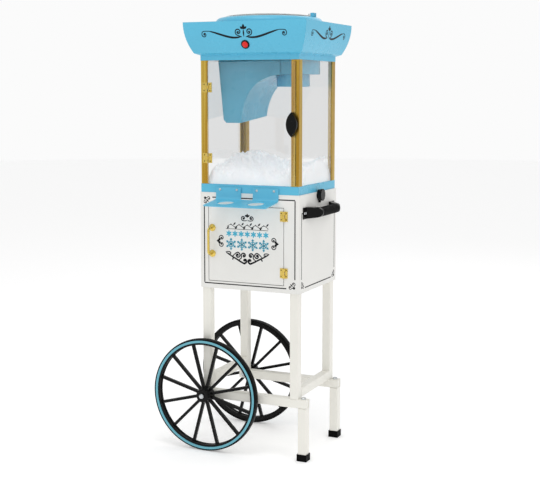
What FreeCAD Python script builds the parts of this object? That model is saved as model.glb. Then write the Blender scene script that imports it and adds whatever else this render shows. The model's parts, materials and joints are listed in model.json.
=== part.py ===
"""Shaved ice machine on a two-wheeled cart, as a parametric FreeCAD document.

Millimetres, +Z up. The origin is on the floor, under the middle of the whole cart's box.
The front faces -Y, the wheels are at the -X end and the push handle is at the +X end.
Helper positions are measured from the cabinet's centre line (cart_x, cart_y) and the floor.
"""
import FreeCAD, Part
import Sketcher
import math
import os
import re
from FreeCAD import Placement, Rotation, Vector

DIMENSIONS = [
    # alias, value, what it is
    ("cart_x", 50, "cabinet's centre line, right of the origin"),
    ("cart_y", 21.5, "cabinet's centre line, behind the origin"),
    # stand
    ("tube", 25, "square tube, outside"),
    ("tube_wall", 1.5, "square tube's wall"),
    ("tube_corner", 3, "square tube's outer corner radius"),
    ("stand_width", 290, "legs, outside, along X"),
    ("stand_depth", 264, "legs, outside, along Y"),
    ("rail_base", 147, "height of the rails' undersides"),
    ("rail_left", 148, "centre line to the rails' wheel ends"),
    ("rail_right", 169, "centre line to the rails' foot ends"),
    ("bar_lift", 14, "left cross bar above the rails"),
    ("cap_height", 19, "rubber foot cap"),
    ("cap_wall", 1.8, "rubber foot cap's wall"),
    ("cap_floor", 5, "rubber under the foot tube"),
    ("rail_bolt", 4, "rail bolt's radius"),
    # wheels
    ("wheel_radius", 160, "tyre's outer radius"),
    ("axle_back", 130, "axles, left of the centre line"),
    ("wheel_track", 297, "between the wheels' middle planes"),
    ("wheel_width", 20, "tyre's width"),
    ("tyre_thick", 5, "tyre's thickness"),
    ("rim_width", 16, "rim's width"),
    ("rim_band", 12.5, "rim's radial thickness"),
    ("ring_band", 6.5, "coloured band's radial width"),
    ("ring_thick", 2, "coloured band's thickness"),
    ("spoke_width", 8, "spoke, across"),
    ("spoke_thick", 8, "spoke, along the axle"),
    ("spoke_count", 12, "spokes in a wheel"),
    ("hub_radius", 23, "hub's radius"),
    ("hub_inner", 12, "hub, towards the rail"),
    ("hub_outer", 22, "hub, away from the rail"),
    ("axle_radius", 5, "axle bolt's radius"),
    ("running_gap", 0.05, "radial clearance of every running fit"),
    # storage cabinet
    ("cabinet_width", 300, "outside, along X"),
    ("cabinet_depth", 270, "outside, along Y"),
    ("cabinet_base", 463, "height of the underside"),
    ("cabinet_top", 730, "height of the top"),
    ("sheet", 1.5, "sheet metal"),
    ("cabinet_corner", 5, "front corners' radius"),
    ("door_left", 122.8, "centre line to the storage door's free edge"),
    ("door_right", 102.8, "centre line to the storage door's hinge edge"),
    ("door_base", 484.5, "storage door's lower edge"),
    ("door_top", 694, "storage door's upper edge"),
    ("door_gap", 1.5, "gap round the storage door"),
    ("door_fold", 10, "depth of the storage door's folded edges"),
    ("pull_left", 112, "centre line to the bail pull"),
    ("pull_low", 560, "height of the bail pull's lower end"),
    ("pull_high", 632, "height of the bail pull's upper end"),
    ("pull_proud", 24, "bail pull, out from the door"),
    ("pull_radius", 3.4, "bail pull's wire"),
    # hinges
    ("hinge_height", 27, "butt hinge"),
    ("storage_leaf", 11, "storage door's hinge leaf, out from the pin"),
    ("glass_leaf", 15, "glass door's hinge leaf, out from the pin"),
    ("knuckle_radius", 3, "hinge knuckle"),
    ("pin_radius", 1.5, "hinge pin"),
    # ice display cabinet
    ("tray_width", 292, "ice tray, along X"),
    ("tray_depth", 268, "ice tray, along Y"),
    ("tray_top", 753, "height of the tray's rim"),
    ("tray_wall", 2.5, "tray's wall"),
    ("well_width", 244, "tray's well, along X"),
    ("well_depth", 220, "tray's well, along Y"),
    ("post_leg", 22, "corner post's flange"),
    ("post_sheet", 1.5, "corner post's thickness"),
    ("post_width", 292, "corner posts, outside, along X"),
    ("post_depth", 264, "corner posts, outside, along Y"),
    ("pane", 3, "acrylic pane"),
    ("glass_left", 124.5, "centre line to the glass door's hinge edge"),
    ("glass_right", 137, "centre line to the glass door's free edge"),
    ("glass_base", 755, "glass door's lower edge"),
    ("glass_top", 1086, "glass door's upper edge"),
    ("knob_right", 128.5, "centre line to the glass door's knob"),
    ("knob_height", 918.5, "height of the glass door's knob"),
    ("knob_thick", 12, "glass door's knob"),
    # canopy and shaver head
    ("canopy_base", 1090, "height of the canopy's lower edge"),
    ("canopy_top", 1192, "height of the canopy's rim"),
    ("band_height", 14, "straight band under the flare"),
    ("flare_base", 1109, "height where the flare starts"),
    ("flare_start", 159, "half width where the flare starts"),
    ("flare_end", 181, "half width at the rim"),
    ("depth_less", 12, "half depth, less than the half width"),
    ("canopy_wall", 2.5, "moulded wall"),
    ("dome_radius", 150, "raised plateau's radius"),
    ("dome_top", 1208, "height of the raised plateau"),
    ("mouth_radius", 105, "hopper mouth's radius"),
    ("lid_radius", 122, "lid's radius"),
    ("lid_top", 1219, "height of the lid's crown"),
    ("lid_hinge", 132, "centre line to the lid's hinge pin"),
    ("lid_lift", 6, "lid's hinge pin above the plateau"),
    ("lid_pin", 2, "lid's hinge pin, radius"),
    ("lid_ear", 3.9, "half the width of the lid's hinge ear"),
    ("drum_x", 64, "cutter's axis, right of the centre line"),
    ("drum_y", 20, "cutter's axis, behind the centre line"),
    ("drum_radius", 73, "cutter housing's radius"),
    ("drum_base", 1053, "height of the cutter housing's underside"),
    ("drum_top", 1112, "height of the cutter housing's top"),
    ("motor_radius", 45, "motor cover's radius"),
    ("motor_base", 1019, "height of the motor cover's underside"),
    ("chute_front", 90, "centre line to the chute's front face"),
    ("chute_back", 80, "centre line to the chute's back face"),
    ("chute_base", 920, "height of the chute's outlet"),
    ("chute_left", 115, "centre line to the chute's upper left edge"),
    ("chute_lip", 44, "centre line to the outlet's right edge"),
    ("chute_curve", 102, "chute's curved underside, along X"),
    ("chute_rise", 16, "climb of the outlet's edge from front to back"),
    ("chute_wall", 2.5, "chute's wall"),
    ("switch_height", 1130.5, "height of the push switch"),
    ("switch_radius", 10, "push switch's barrel"),
    ("ice_top", 836, "height of the heap of ice"),
    ("ice_round", 400, "radius of the heap's crown"),
    ("ice_left", 20, "centre line to the heap's highest point"),
    ("ice_back", 30, "heap's highest point, behind the centre line"),
    # shelf, handle, tap
    ("shelf_left", 98.6, "centre line to the cone shelf's left end"),
    ("shelf_right", 88.8, "centre line to the cone shelf's right end"),
    ("shelf_reach", 220, "centre line to the cone shelf's front edge"),
    ("shelf_top", 702, "height of the cone shelf's front edge"),
    ("shelf_rise", 10.5, "cone shelf, from its front edge up to the cabinet"),
    ("shelf_tab", 746, "height of the cone shelf's tabs"),
    ("shelf_sheet", 2.5, "cone shelf's thickness"),
    ("shelf_bend", 12, "cone shelf's bend, outside"),
    ("cone_hole", 22.5, "cone hole's radius"),
    ("cone_left", 50, "centre line to the left cone hole"),
    ("cone_right", 40, "centre line to the right cone hole"),
    ("cone_row", 176, "cone holes, in front of the centre line"),
    ("handle_height", 680, "height of the push handle"),
    ("handle_reach", 27, "handle bar's centre from the cabinet's side"),
    ("handle_end", 114, "centre line to the handle castings' ends"),
    ("handle_tall", 31, "handle castings, up and down"),
    ("grip_half", 60, "centre line to the grip's ends"),
    ("bar_radius", 8, "handle bar"),
    ("grip_radius", 13, "foam grip"),
    ("tap_height", 722, "height of the drain tap"),
    ("tap_radius", 5.5, "drain pipe"),
    ("valve_radius", 15, "valve case on the cabinet's side"),
    ("valve_thick", 7, "valve case, along X"),
    ("spout_radius", 3.4, "drain spout, outside"),
    ("outlet_radius", 2.2, "drain spout's bore"),
    ("outlet_drop", 21.5, "drain spout's end below the pipe's axis"),
    ("tap_knob", 16.5, "drain knob's radius"),
]

doc = FreeCAD.newDocument("shaved_ice_machine")
sheet = doc.addObject("Spreadsheet::Sheet", "dims")
for row, (alias, value, note) in enumerate(DIMENSIONS, start=1):
    sheet.set(f"A{row}", note)
    sheet.set(f"B{row}", str(value))
    sheet.setAlias(f"B{row}", alias)
doc.recompute()
ALIASES = {alias for alias, value, note in DIMENSIONS}

TURN = {
    "+z": Rotation(),
    "-z": Rotation(Vector(1, 0, 0), 180),
    "+x": Rotation(Vector(0, 1, 0), 90),
    "-x": Rotation(Vector(0, 1, 0), -90),
    "+y": Rotation(Vector(1, 0, 0), -90),
    "-y": Rotation(Vector(1, 0, 0), 90),
}
pieces = []


def size(alias):
    """A driving dimension's number, from the sheet."""
    return float(sheet.get(alias))


def bind(item, target, text):
    """Binds a property or constraint to an expression of the sheet's aliases."""
    named = re.sub(r"[a-z_]+", lambda word: "dims." + word.group() if word.group() in ALIASES
                   else word.group(), str(text))
    item.setExpression(target, named)


def place(item, x, y, z, turn=None):
    """Puts an item at a point measured from the cabinet's centre line and the floor."""
    item.Placement = Placement(Vector(), turn or Rotation())
    bind(item, "Placement.Base.x", f"cart_x + ({x})")
    bind(item, "Placement.Base.y", f"cart_y + ({y})")
    bind(item, "Placement.Base.z", z)
    return item


def piece(item, label=None):
    """Marks a document object as a finished sub-part, whose Label names its file."""
    item.Label = label or item.Name
    pieces.append(item)
    return item


def even(half, middle="0"):
    """A span that reaches the same distance each side of its middle."""
    return (f"({middle}) - ({half})", f"({middle}) + ({half})")


def block(name, x, y, z):
    """A box between two planes on each axis."""
    solid = doc.addObject("Part::Box", name)
    for edge, (low, high) in zip(("Length", "Width", "Height"), (x, y, z)):
        bind(solid, edge, f"({high}) - ({low})")
    return place(solid, x[0], y[0], z[0])


def rod(name, radius, length, x, y, z, axis="+z"):
    """A cylinder that starts at a point and runs along an axis."""
    solid = doc.addObject("Part::Cylinder", name)
    bind(solid, "Radius", radius)
    bind(solid, "Height", length)
    turn = axis if isinstance(axis, Rotation) else TURN[axis]
    return place(solid, x, y, z, turn)


def fuse(name, *solids):
    """One solid from overlapping or touching solids."""
    joined = doc.addObject("Part::MultiFuse", name)
    joined.Shapes = list(solids)
    return joined


def cut(name, base, *tools):
    """A base less its tools."""
    result = doc.addObject("Part::Cut", name)
    result.Base = base
    result.Tool = tools[0] if len(tools) == 1 else fuse(name + "_tools", *tools)
    return result


def common(name, base, tool):
    """The space that a base and a tool share."""
    result = doc.addObject("Part::Common", name)
    result.Base = base
    result.Tool = tool
    return result


def group(name, *solids):
    """Identical or matching solids that share one node."""
    bundle = doc.addObject("Part::Compound", name)
    bundle.Links = list(solids)
    return bundle


def body(name, x="0", y="0", z="0", turn=None):
    """An empty PartDesign body at a point."""
    return place(doc.addObject("PartDesign::Body", name), x, y, z, turn)


def sketch(owner, name, plane="XY_Plane", lift=None):
    """A sketch on one of its body's origin planes, lifted along the plane's normal."""
    drawing = owner.newObject("Sketcher::SketchObject", name)
    origin = next(feature for feature in owner.Origin.OriginFeatures if feature.Role == plane)
    drawing.AttachmentSupport = [(origin, "")]
    drawing.MapMode = "FlatFace"
    if lift is not None:
        bind(drawing, "AttachmentOffset.Base.z", lift)
    return drawing


def outline(drawing, points):
    """Closed polygon through points in the sketch; a bulged corner is given as ("arc", through, end)."""
    start = points[0]
    here = start
    for step in points[1:] + [start]:
        if isinstance(step[0], str):
            through, end = step[1], step[2]
            edge = Part.Arc(Vector(*here, 0), Vector(*through, 0), Vector(*end, 0))
            here = end
        else:
            if step == here:
                continue
            edge = Part.LineSegment(Vector(*here, 0), Vector(*step, 0))
            here = step
        drawing.addGeometry(edge)


def centred_rectangle(drawing, width, height):
    """A rectangle about the sketch's origin, with its width and height bound to the sheet."""
    first = drawing.GeometryCount
    corners = [Vector(-9, -7, 0), Vector(9, -7, 0), Vector(9, 7, 0), Vector(-9, 7, 0)]
    for start, end in zip(corners, corners[1:] + corners[:1]):
        drawing.addGeometry(Part.LineSegment(start, end))
    for side in range(4):
        drawing.addConstraint(Sketcher.Constraint("Coincident", first + side, 2,
                                                  first + (side + 1) % 4, 1))
    for side, kind in enumerate(("Horizontal", "Vertical", "Horizontal", "Vertical")):
        drawing.addConstraint(Sketcher.Constraint(kind, first + side))
    drawing.addConstraint(Sketcher.Constraint("Symmetric", first, 1, first + 1, 2, -1, 1))
    for side, length in ((0, width), (1, height)):
        number = drawing.addConstraint(Sketcher.Constraint("Distance", first + side, 14 + 4 * side))
        bind(drawing, f"Constraints[{number}]", length)


def circle(drawing, radius, x=0, y=0):
    """A circle with a bound radius at a point of the sketch."""
    number = drawing.addGeometry(Part.Circle(Vector(x, y, 0), Vector(0, 0, 1), 5))
    drawing.addConstraint(Sketcher.Constraint("DistanceX", -1, 1, number, 3, x))
    drawing.addConstraint(Sketcher.Constraint("DistanceY", -1, 1, number, 3, y))
    limit = drawing.addConstraint(Sketcher.Constraint("Radius", number, 5))
    bind(drawing, f"Constraints[{limit}]", radius)


def pad(owner, drawing, length):
    """Raises a sketch along its plane's normal."""
    feature = owner.newObject("PartDesign::Pad", drawing.Name + "_pad")
    feature.Profile = drawing
    bind(feature, "Length", length)
    return feature


def revolve(owner, drawing):
    """Turns a sketch on XZ_Plane, drawn as (radius, height), about the body's Z axis."""
    feature = owner.newObject("PartDesign::Revolution", drawing.Name + "_turned")
    feature.Profile = drawing
    feature.ReferenceAxis = (drawing, ["V_Axis"])
    feature.Angle = 360
    return feature


def turned(name, points, x, y, z, turn=None):
    """A body turned from one (radius, height) outline."""
    owner = body(name, x, y, z, turn)
    drawing = sketch(owner, name + "_profile", "XZ_Plane")
    outline(drawing, points)
    revolve(owner, drawing)
    return owner


def fillet(owner, base, radius, wanted):
    """Rounds the edges of a body's feature that the test picks."""
    doc.recompute()
    names = [f"Edge{number}" for number, edge in enumerate(base.Shape.Edges, start=1) if wanted(edge)]
    feature = owner.newObject("PartDesign::Fillet", base.Name + "_rounded")
    feature.Base = (base, names)
    bind(feature, "Radius", radius)
    return feature


def upright(edge):
    """True for an edge along the body's Z axis."""
    ends = [vertex.Point for vertex in edge.Vertexes]
    return len(ends) == 2 and abs(ends[0].x - ends[1].x) + abs(ends[0].y - ends[1].y) < 1e-6


def square_tube(name, length, x, y, z, axis="+z"):
    """A square tube with rounded outer corners, which starts at the centre of one end."""
    owner = body(name, x, y, z, TURN[axis])
    drawing = sketch(owner, name + "_section")
    centred_rectangle(drawing, "tube", "tube")
    centred_rectangle(drawing, "tube - 2 * tube_wall", "tube - 2 * tube_wall")
    raw = pad(owner, drawing, length)
    half = size("tube") / 2
    fillet(owner, raw, "tube_corner",
           lambda edge: upright(edge) and abs(abs(edge.Vertexes[0].X) - half) < 1e-6)
    return owner


# ---------------------------------------------------------------- stand
LEG_X = "(stand_width - tube) / 2"
LEG_Y = "(stand_depth - tube) / 2"
RAIL_TOP = "rail_base + tube"
FOOT_X = "rail_right - tube / 2"
BOLT_GAP = 0.2


def make_legs():
    """Four upright tubes from the rails to the cabinet's underside."""
    for end, along in (("front", -1), ("rear", 1)):
        for side, across in (("left", -1), ("right", 1)):
            piece(square_tube(f"leg_{end}_{side}", f"cabinet_base - ({RAIL_TOP})",
                              f"{across} * {LEG_X}", f"{along} * {LEG_Y}", RAIL_TOP))


def make_rail(end, along):
    """A rail with its foot end welded shut, bored for the axle bolt and for the foot's bolt."""
    y = f"{along} * {LEG_Y}"
    tube = square_tube(f"rail_{end}_tube", "rail_left + rail_right", "-rail_left", y,
                       "rail_base + tube / 2", "+x")
    inner = "(tube / 2 - tube_wall)"
    plate = block(f"rail_{end}_plate", ("rail_right - 2 * tube_wall", "rail_right - tube_wall"),
                  (f"{y} - {inner}", f"{y} + {inner}"),
                  ("rail_base + tube_wall", "rail_base + tube - tube_wall"))
    axle_hole = rod(f"rail_{end}_axle_hole", f"axle_radius + {BOLT_GAP}", "tube + 2", "-axle_back",
                    f"{y} + tube / 2 + 1", "wheel_radius", "-y")
    foot_hole = rod(f"rail_{end}_foot_hole", f"rail_bolt + {BOLT_GAP}", "tube + 2", FOOT_X, y,
                    "rail_base - 1")
    return piece(cut(f"rail_{end}", fuse(f"rail_{end}_welded", tube, plate), axle_hole, foot_hole))


def make_cross_bars():
    """Tubes along Y between the legs: on the rails at the right, a little higher at the left."""
    length = "stand_depth - 2 * tube"
    right = square_tube("cross_bar_right", length, LEG_X, "tube - stand_depth / 2",
                        f"{RAIL_TOP} + tube / 2", "+y")
    left = square_tube("cross_bar_left", length, f"-({LEG_X})", "tube - stand_depth / 2",
                       f"{RAIL_TOP} + bar_lift + tube / 2", "+y")
    piece(group("cross_bars", left, right))


def make_feet():
    """Foot tubes with a threaded plate in the top, rubber caps, and the bolts through the rails."""
    tubes, caps, bolts = [], [], []
    for end, along in (("front", -1), ("rear", 1)):
        y = f"{along} * {LEG_Y}"
        tube = square_tube(f"foot_tube_{end}", "rail_base - cap_floor", FOOT_X, y, "cap_floor")
        inner = "(tube / 2 - tube_wall)"
        plate = block(f"foot_plate_{end}", (f"{FOOT_X} - {inner}", f"{FOOT_X} + {inner}"),
                      (f"{y} - {inner}", f"{y} + {inner}"), ("rail_base - 6", "rail_base"))
        thread = rod(f"foot_thread_{end}", "rail_bolt + 0.02", 20, FOOT_X, y, "rail_base - 15")
        tubes.append(cut(f"foot_{end}", fuse(f"foot_welded_{end}", tube, plate), thread))
        half = "(tube / 2 + cap_wall)"
        rubber = block(f"cap_block_{end}", (f"{FOOT_X} - {half}", f"{FOOT_X} + {half}"),
                       (f"{y} - {half}", f"{y} + {half}"), ("0", "cap_height"))
        socket = block(f"cap_socket_{end}", (f"{FOOT_X} - tube / 2", f"{FOOT_X} + tube / 2"),
                       (f"{y} - tube / 2", f"{y} + tube / 2"), ("cap_floor", "cap_height + 1"))
        caps.append(cut(f"cap_{end}", rubber, socket))
        shank = rod(f"rail_bolt_shank_{end}", "rail_bolt", "tube + 10", FOOT_X, y, "rail_base - 10")
        head = turned(f"rail_bolt_head_{end}", [(0, 0), (7, 0), (7, 3), (5.5, 4.5), (0, 4.5)],
                      FOOT_X, y, RAIL_TOP)
        bolts.append(fuse(f"rail_bolt_{end}", shank, head))
    piece(group("foot_tubes", *tubes))
    piece(group("foot_caps", *caps))
    return bolts


# ---------------------------------------------------------------- wheels
def make_wheel(end, along):
    """Tyre, coloured band and spoked rim, each turned about the axle with +Z facing outwards."""
    turn = TURN["-y"] if along < 0 else TURN["+y"]
    at = ("-axle_back", f"{along} * wheel_track / 2", "wheel_radius", turn)
    outer = size("wheel_radius")
    rim = outer - size("tyre_thick")
    half = size("wheel_width") / 2
    tread = 1.5
    tyre = [(rim, -half), (outer - tread, -half), ("arc", (outer, 0), (outer - tread, half)), (rim, half)]
    piece(turned(f"wheel_{end}_tyre", tyre, *at))
    face = size("rim_width") / 2
    ring_top = face + size("ring_thick")
    ring = [(rim, face), (rim, ring_top), (rim - size("ring_band"), ring_top),
            (rim - size("ring_band"), face)]
    piece(turned(f"wheel_{end}_ring", ring, *at))
    make_spider(f"wheel_{end}_spider", at, rim, face)


def make_spider(name, at, rim, face):
    """Hub, spokes and rim as one moulding."""
    inside = rim - size("rim_band")
    hub = size("hub_radius")
    bore = size("axle_radius") + size("running_gap")
    low, high = -size("hub_inner"), size("hub_outer")
    shoulder = size("spoke_thick")
    owner = body(name, *at)
    hub_profile = sketch(owner, name + "_hub", "XZ_Plane")
    outline(hub_profile, [(bore, low), (hub, low), (hub, shoulder), (hub - 4, high - 4),
                          ("arc", (hub - 5.2, high - 1.2), (hub - 8, high)), (bore, high)])
    revolve(owner, hub_profile)
    spoke = sketch(owner, name + "_spoke", "XY_Plane", "-spoke_thick / 2")
    half = size("spoke_width") / 2
    outline(spoke, [(hub - 3, -half), (inside + 1, -half), (inside + 1, half), (hub - 3, half)])
    spoke_pad = pad(owner, spoke, "spoke_thick")
    pattern = owner.newObject("PartDesign::PolarPattern", name + "_spokes")
    pattern.Originals = [spoke_pad]
    pattern.Axis = (spoke, ["N_Axis"])
    pattern.Angle = 360
    bind(pattern, "Occurrences", "spoke_count")
    owner.Tip = pattern
    rim_profile = sketch(owner, name + "_rim", "XZ_Plane")
    lip = 3
    outline(rim_profile, [(inside, -face), (rim, -face), (rim, face), (inside, face),
                          (inside, face - lip), (inside + lip, 0), (inside, lip - face)])
    revolve(owner, rim_profile)
    step = Rotation(Vector(0, 0, 1), 180 / size("spoke_count"))
    owner.Placement = Placement(owner.Placement.Base, owner.Placement.Rotation.multiply(step))
    piece(owner)


def make_axles():
    """Axle bolts from outside, each with a spacer between hub and rail and a nut inside."""
    bolts = []
    for end, along, out, back in (("front", -1, "-y", "+y"), ("rear", 1, "+y", "-y")):
        face = f"{along} * (wheel_track / 2 + hub_outer + 0.5)"
        inner = f"{along} * (stand_depth / 2 - tube)"
        reach = "wheel_track / 2 + hub_outer - stand_depth / 2 + tube + 12"
        shank = rod(f"axle_shank_{end}", "axle_radius", reach, "-axle_back", face, "wheel_radius", back)
        head = turned(f"axle_head_{end}", [(0, 0), (7, 0), (7, 3), (5.5, 5.5), (0, 6)],
                      "-axle_back", face, "wheel_radius", TURN[out])
        gap = "wheel_track / 2 - hub_inner - stand_depth / 2 - 0.5"
        spacer = rod(f"axle_spacer_{end}", "axle_radius + 5", gap, "-axle_back",
                     f"{along} * stand_depth / 2", "wheel_radius", out)
        nut = doc.addObject("Part::Prism", f"axle_nut_{end}")
        nut.Polygon = 6
        bind(nut, "Circumradius", "axle_radius + 4.5")
        bind(nut, "Height", 8)
        place(nut, "-axle_back", inner, "wheel_radius", TURN[back])
        bolts.append(fuse(f"axle_{end}", shank, head, spacer, nut))
    return bolts


# ---------------------------------------------------------------- storage cabinet
SIDE = "cabinet_width / 2"
FACE = "cabinet_depth / 2"


def make_cabinet():
    """Wrapped sheet with openings for the door, the tray and the back panel, and its floor and back."""
    shell = body("cabinet_wrap", "0", "0", "cabinet_base")
    drawing = sketch(shell, "cabinet_wrap_section")
    centred_rectangle(drawing, "cabinet_width", "cabinet_depth")
    raw = pad(shell, drawing, "cabinet_top - cabinet_base")
    fillet(shell, raw, "cabinet_corner", lambda edge: upright(edge) and edge.Vertexes[0].Y < 0)
    inside = block("cabinet_inside", even(f"{SIDE} - sheet"), even(f"{FACE} - sheet"),
                   ("cabinet_base - 1", "cabinet_top - sheet"))
    top = block("cabinet_top_opening", even(f"{SIDE} - 20"), even(f"{FACE} - 20"),
                ("cabinet_top - 5", "cabinet_top + 1"))
    front = block("cabinet_door_opening", ("-door_left - door_gap", "door_right + door_gap"),
                  (f"-{FACE} - 1", f"-{FACE} + 10"), ("door_base - door_gap", "door_top + door_gap"))
    back = block("cabinet_back_opening", even(f"{SIDE} - 15"), (f"{FACE} - 10", f"{FACE} + 1"),
                 ("cabinet_base + 15", "cabinet_top - 15"))
    tap = rod("cabinet_tap_hole", "tap_radius + 0.5", 10, f"{SIDE} - 5", "0", "tap_height", "+x")
    piece(cut("cabinet_body", shell, inside, top, front, back, tap))
    piece(block("cabinet_floor", even(f"{SIDE} - sheet - 0.2"), even(f"{FACE} - sheet - 0.2"),
                ("cabinet_base", "cabinet_base + 2")))
    piece(block("cabinet_back", even(f"{SIDE} - 6"), (FACE, f"{FACE} + sheet"),
                ("cabinet_base + 4", "cabinet_top - 4")))


def make_catch():
    """Magnetic catch behind the front frame: its magnet meets the door's folded edge."""
    edge, middle = "-door_left - door_gap - 1", "(door_base + door_top) / 2"
    case = block("catch_case", (f"{edge} - 18", edge), (f"sheet - {FACE}", f"sheet - {FACE} + 14"),
                 even(21, middle))
    magnet = block("catch_magnet", (edge, f"{edge} + 5"),
                   (f"door_fold + 1 - {FACE}", f"sheet - {FACE} + 14"), even(15, middle))
    piece(fuse("door_catch", case, magnet))


def make_storage_door():
    """Pressed door panel with folded edges, flush in its opening, and a bail pull."""
    outside = block("door_outside", ("-door_left", "door_right"), (f"-{FACE}", f"door_fold - {FACE}"),
                    ("door_base", "door_top"))
    hollow = block("door_hollow", ("sheet - door_left", "door_right - sheet"),
                   (f"sheet - {FACE}", f"door_fold + 1 - {FACE}"), ("door_base + sheet", "door_top - sheet"))
    piece(cut("storage_door_panel", outside, hollow))
    pull = body("pull_wire", "-pull_left", f"-{FACE}", "0")
    path = sketch(pull, "pull_path", "YZ_Plane")
    low, high, proud = size("pull_low"), size("pull_high"), size("pull_proud")
    bend = 9
    turn = bend * (1 - math.sqrt(0.5))
    route = [Vector(0, low, 0), Vector(bend - proud, low, 0), Vector(-proud, low + bend, 0),
             Vector(-proud, high - bend, 0), Vector(bend - proud, high, 0), Vector(0, high, 0)]
    path.addGeometry(Part.LineSegment(route[0], route[1]))
    path.addGeometry(Part.Arc(route[1], Vector(turn - proud, low + turn, 0), route[2]))
    path.addGeometry(Part.LineSegment(route[2], route[3]))
    path.addGeometry(Part.Arc(route[3], Vector(turn - proud, high - turn, 0), route[4]))
    path.addGeometry(Part.LineSegment(route[4], route[5]))
    ring = sketch(pull, "pull_section", "XZ_Plane")
    circle(ring, "pull_radius", 0, low)
    pipe = pull.newObject("PartDesign::AdditivePipe", "pull_pipe")
    pipe.Profile = ring
    pipe.Spine = path
    shoulder = (7.5, 2.5)
    rosette = [(0, 0), (10, 0), (10, 1), shoulder, ("arc", crown_middle(5, shoulder), (0, 5))]
    roses = [turned(f"pull_rosette_{name}", rosette, "-pull_left", f"-{FACE}", f"pull_{name}", TURN["-y"])
             for name in ("low", "high")]
    piece(fuse("storage_door_pull", pull, *roses))


# ---------------------------------------------------------------- hinges
def hinge(name, x, y, z, facing, frame_y, door_y, leaf):
    """A butt hinge about a vertical pin at (x, y), centred at height z.

    facing is -1 where the frame is on the left. Each leaf lies on its own surface and reaches the
    knuckles with a short riser. Returns the frame leaf, the door leaf and the pin.
    """
    third = "hinge_height / 3"
    base = f"{z} - hinge_height / 2"
    reach = "(knuckle_radius + 1)"

    def strip(label, side, near, far, surface, thick, low, high):
        """A flat strip on a surface, from near to far on one side of the pin."""
        ends = (f"{x} + {near}", f"{x} + {far}") if side > 0 else (f"{x} - ({far})", f"{x} - ({near})")
        return block(label, ends, (f"{surface} - ({thick})", surface), (low, high))

    bore = rod(f"{name}_bore", "pin_radius + running_gap", "hinge_height + 2", x, y, f"{base} - 1")
    frame = [strip(f"{name}_frame_plate", facing, reach, leaf, frame_y, 1.5, base,
                   f"{base} + hinge_height")]
    door = [strip(f"{name}_door_plate", -facing, reach, leaf, door_y, 1.5, base,
                  f"{base} + hinge_height")]
    for number, (low, high) in enumerate(((base, f"{base} + {third} - 0.15"),
                                          (f"{base} + 2 * {third} + 0.15", f"{base} + hinge_height"))):
        frame.append(rod(f"{name}_frame_knuckle_{number}", "knuckle_radius", f"({high}) - ({low})",
                         x, y, low))
        frame.append(strip(f"{name}_frame_riser_{number}", facing, "knuckle_radius - 1", f"{reach} + 1.2",
                           frame_y, f"({frame_y}) - ({y}) + 0.5", low, high))
    low = f"{base} + {third} + 0.15"
    door.append(rod(f"{name}_door_knuckle", "knuckle_radius", f"{third} - 0.3", x, y, low))
    door.append(strip(f"{name}_door_riser", -facing, "knuckle_radius - 1", f"{reach} + 1.2", door_y,
                      f"({door_y}) - ({y}) + 0.5", low, f"{low} + {third} - 0.3"))
    pin = rod(f"{name}_pin", "pin_radius", "hinge_height + 1", x, y, f"{base} - 0.5")
    return (cut(f"{name}_frame_leaf", fuse(f"{name}_frame_raw", *frame), bore),
            cut(f"{name}_door_leaf", fuse(f"{name}_door_raw", *door), bore), pin)


STORAGE_HINGE = ("door_right + door_gap", f"-{FACE} - knuckle_radius - 0.3")
GLASS_FACE = "-post_depth / 2 - 0.3 - pane"
GLASS_HINGE = ("-glass_left - door_gap", f"{GLASS_FACE} - knuckle_radius - 0.3")
STORAGE_LEVELS = (("low", 518), ("high", 672))
GLASS_LEVELS = (("low", 824), ("high", 1017))


def make_hinges():
    """Two butt hinges for each door, shared out between the doors, the frame and the pins."""
    storage = [hinge(f"storage_hinge_{name}", *STORAGE_HINGE, z, 1, f"-{FACE}", f"-{FACE}", "storage_leaf")
               for name, z in STORAGE_LEVELS]
    glass = [hinge(f"glass_hinge_{name}", *GLASS_HINGE, z, -1, "-post_depth / 2", GLASS_FACE, "glass_leaf")
             for name, z in GLASS_LEVELS]
    piece(group("storage_hinge_leaves", *[leaves[1] for leaves in storage]))
    piece(group("glass_hinge_leaves", *[leaves[1] for leaves in glass]))
    piece(group("hinge_frame_leaves", *[leaves[0] for leaves in storage + glass]))
    piece(group("hinge_pins", *[leaves[2] for leaves in storage + glass]))


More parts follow.
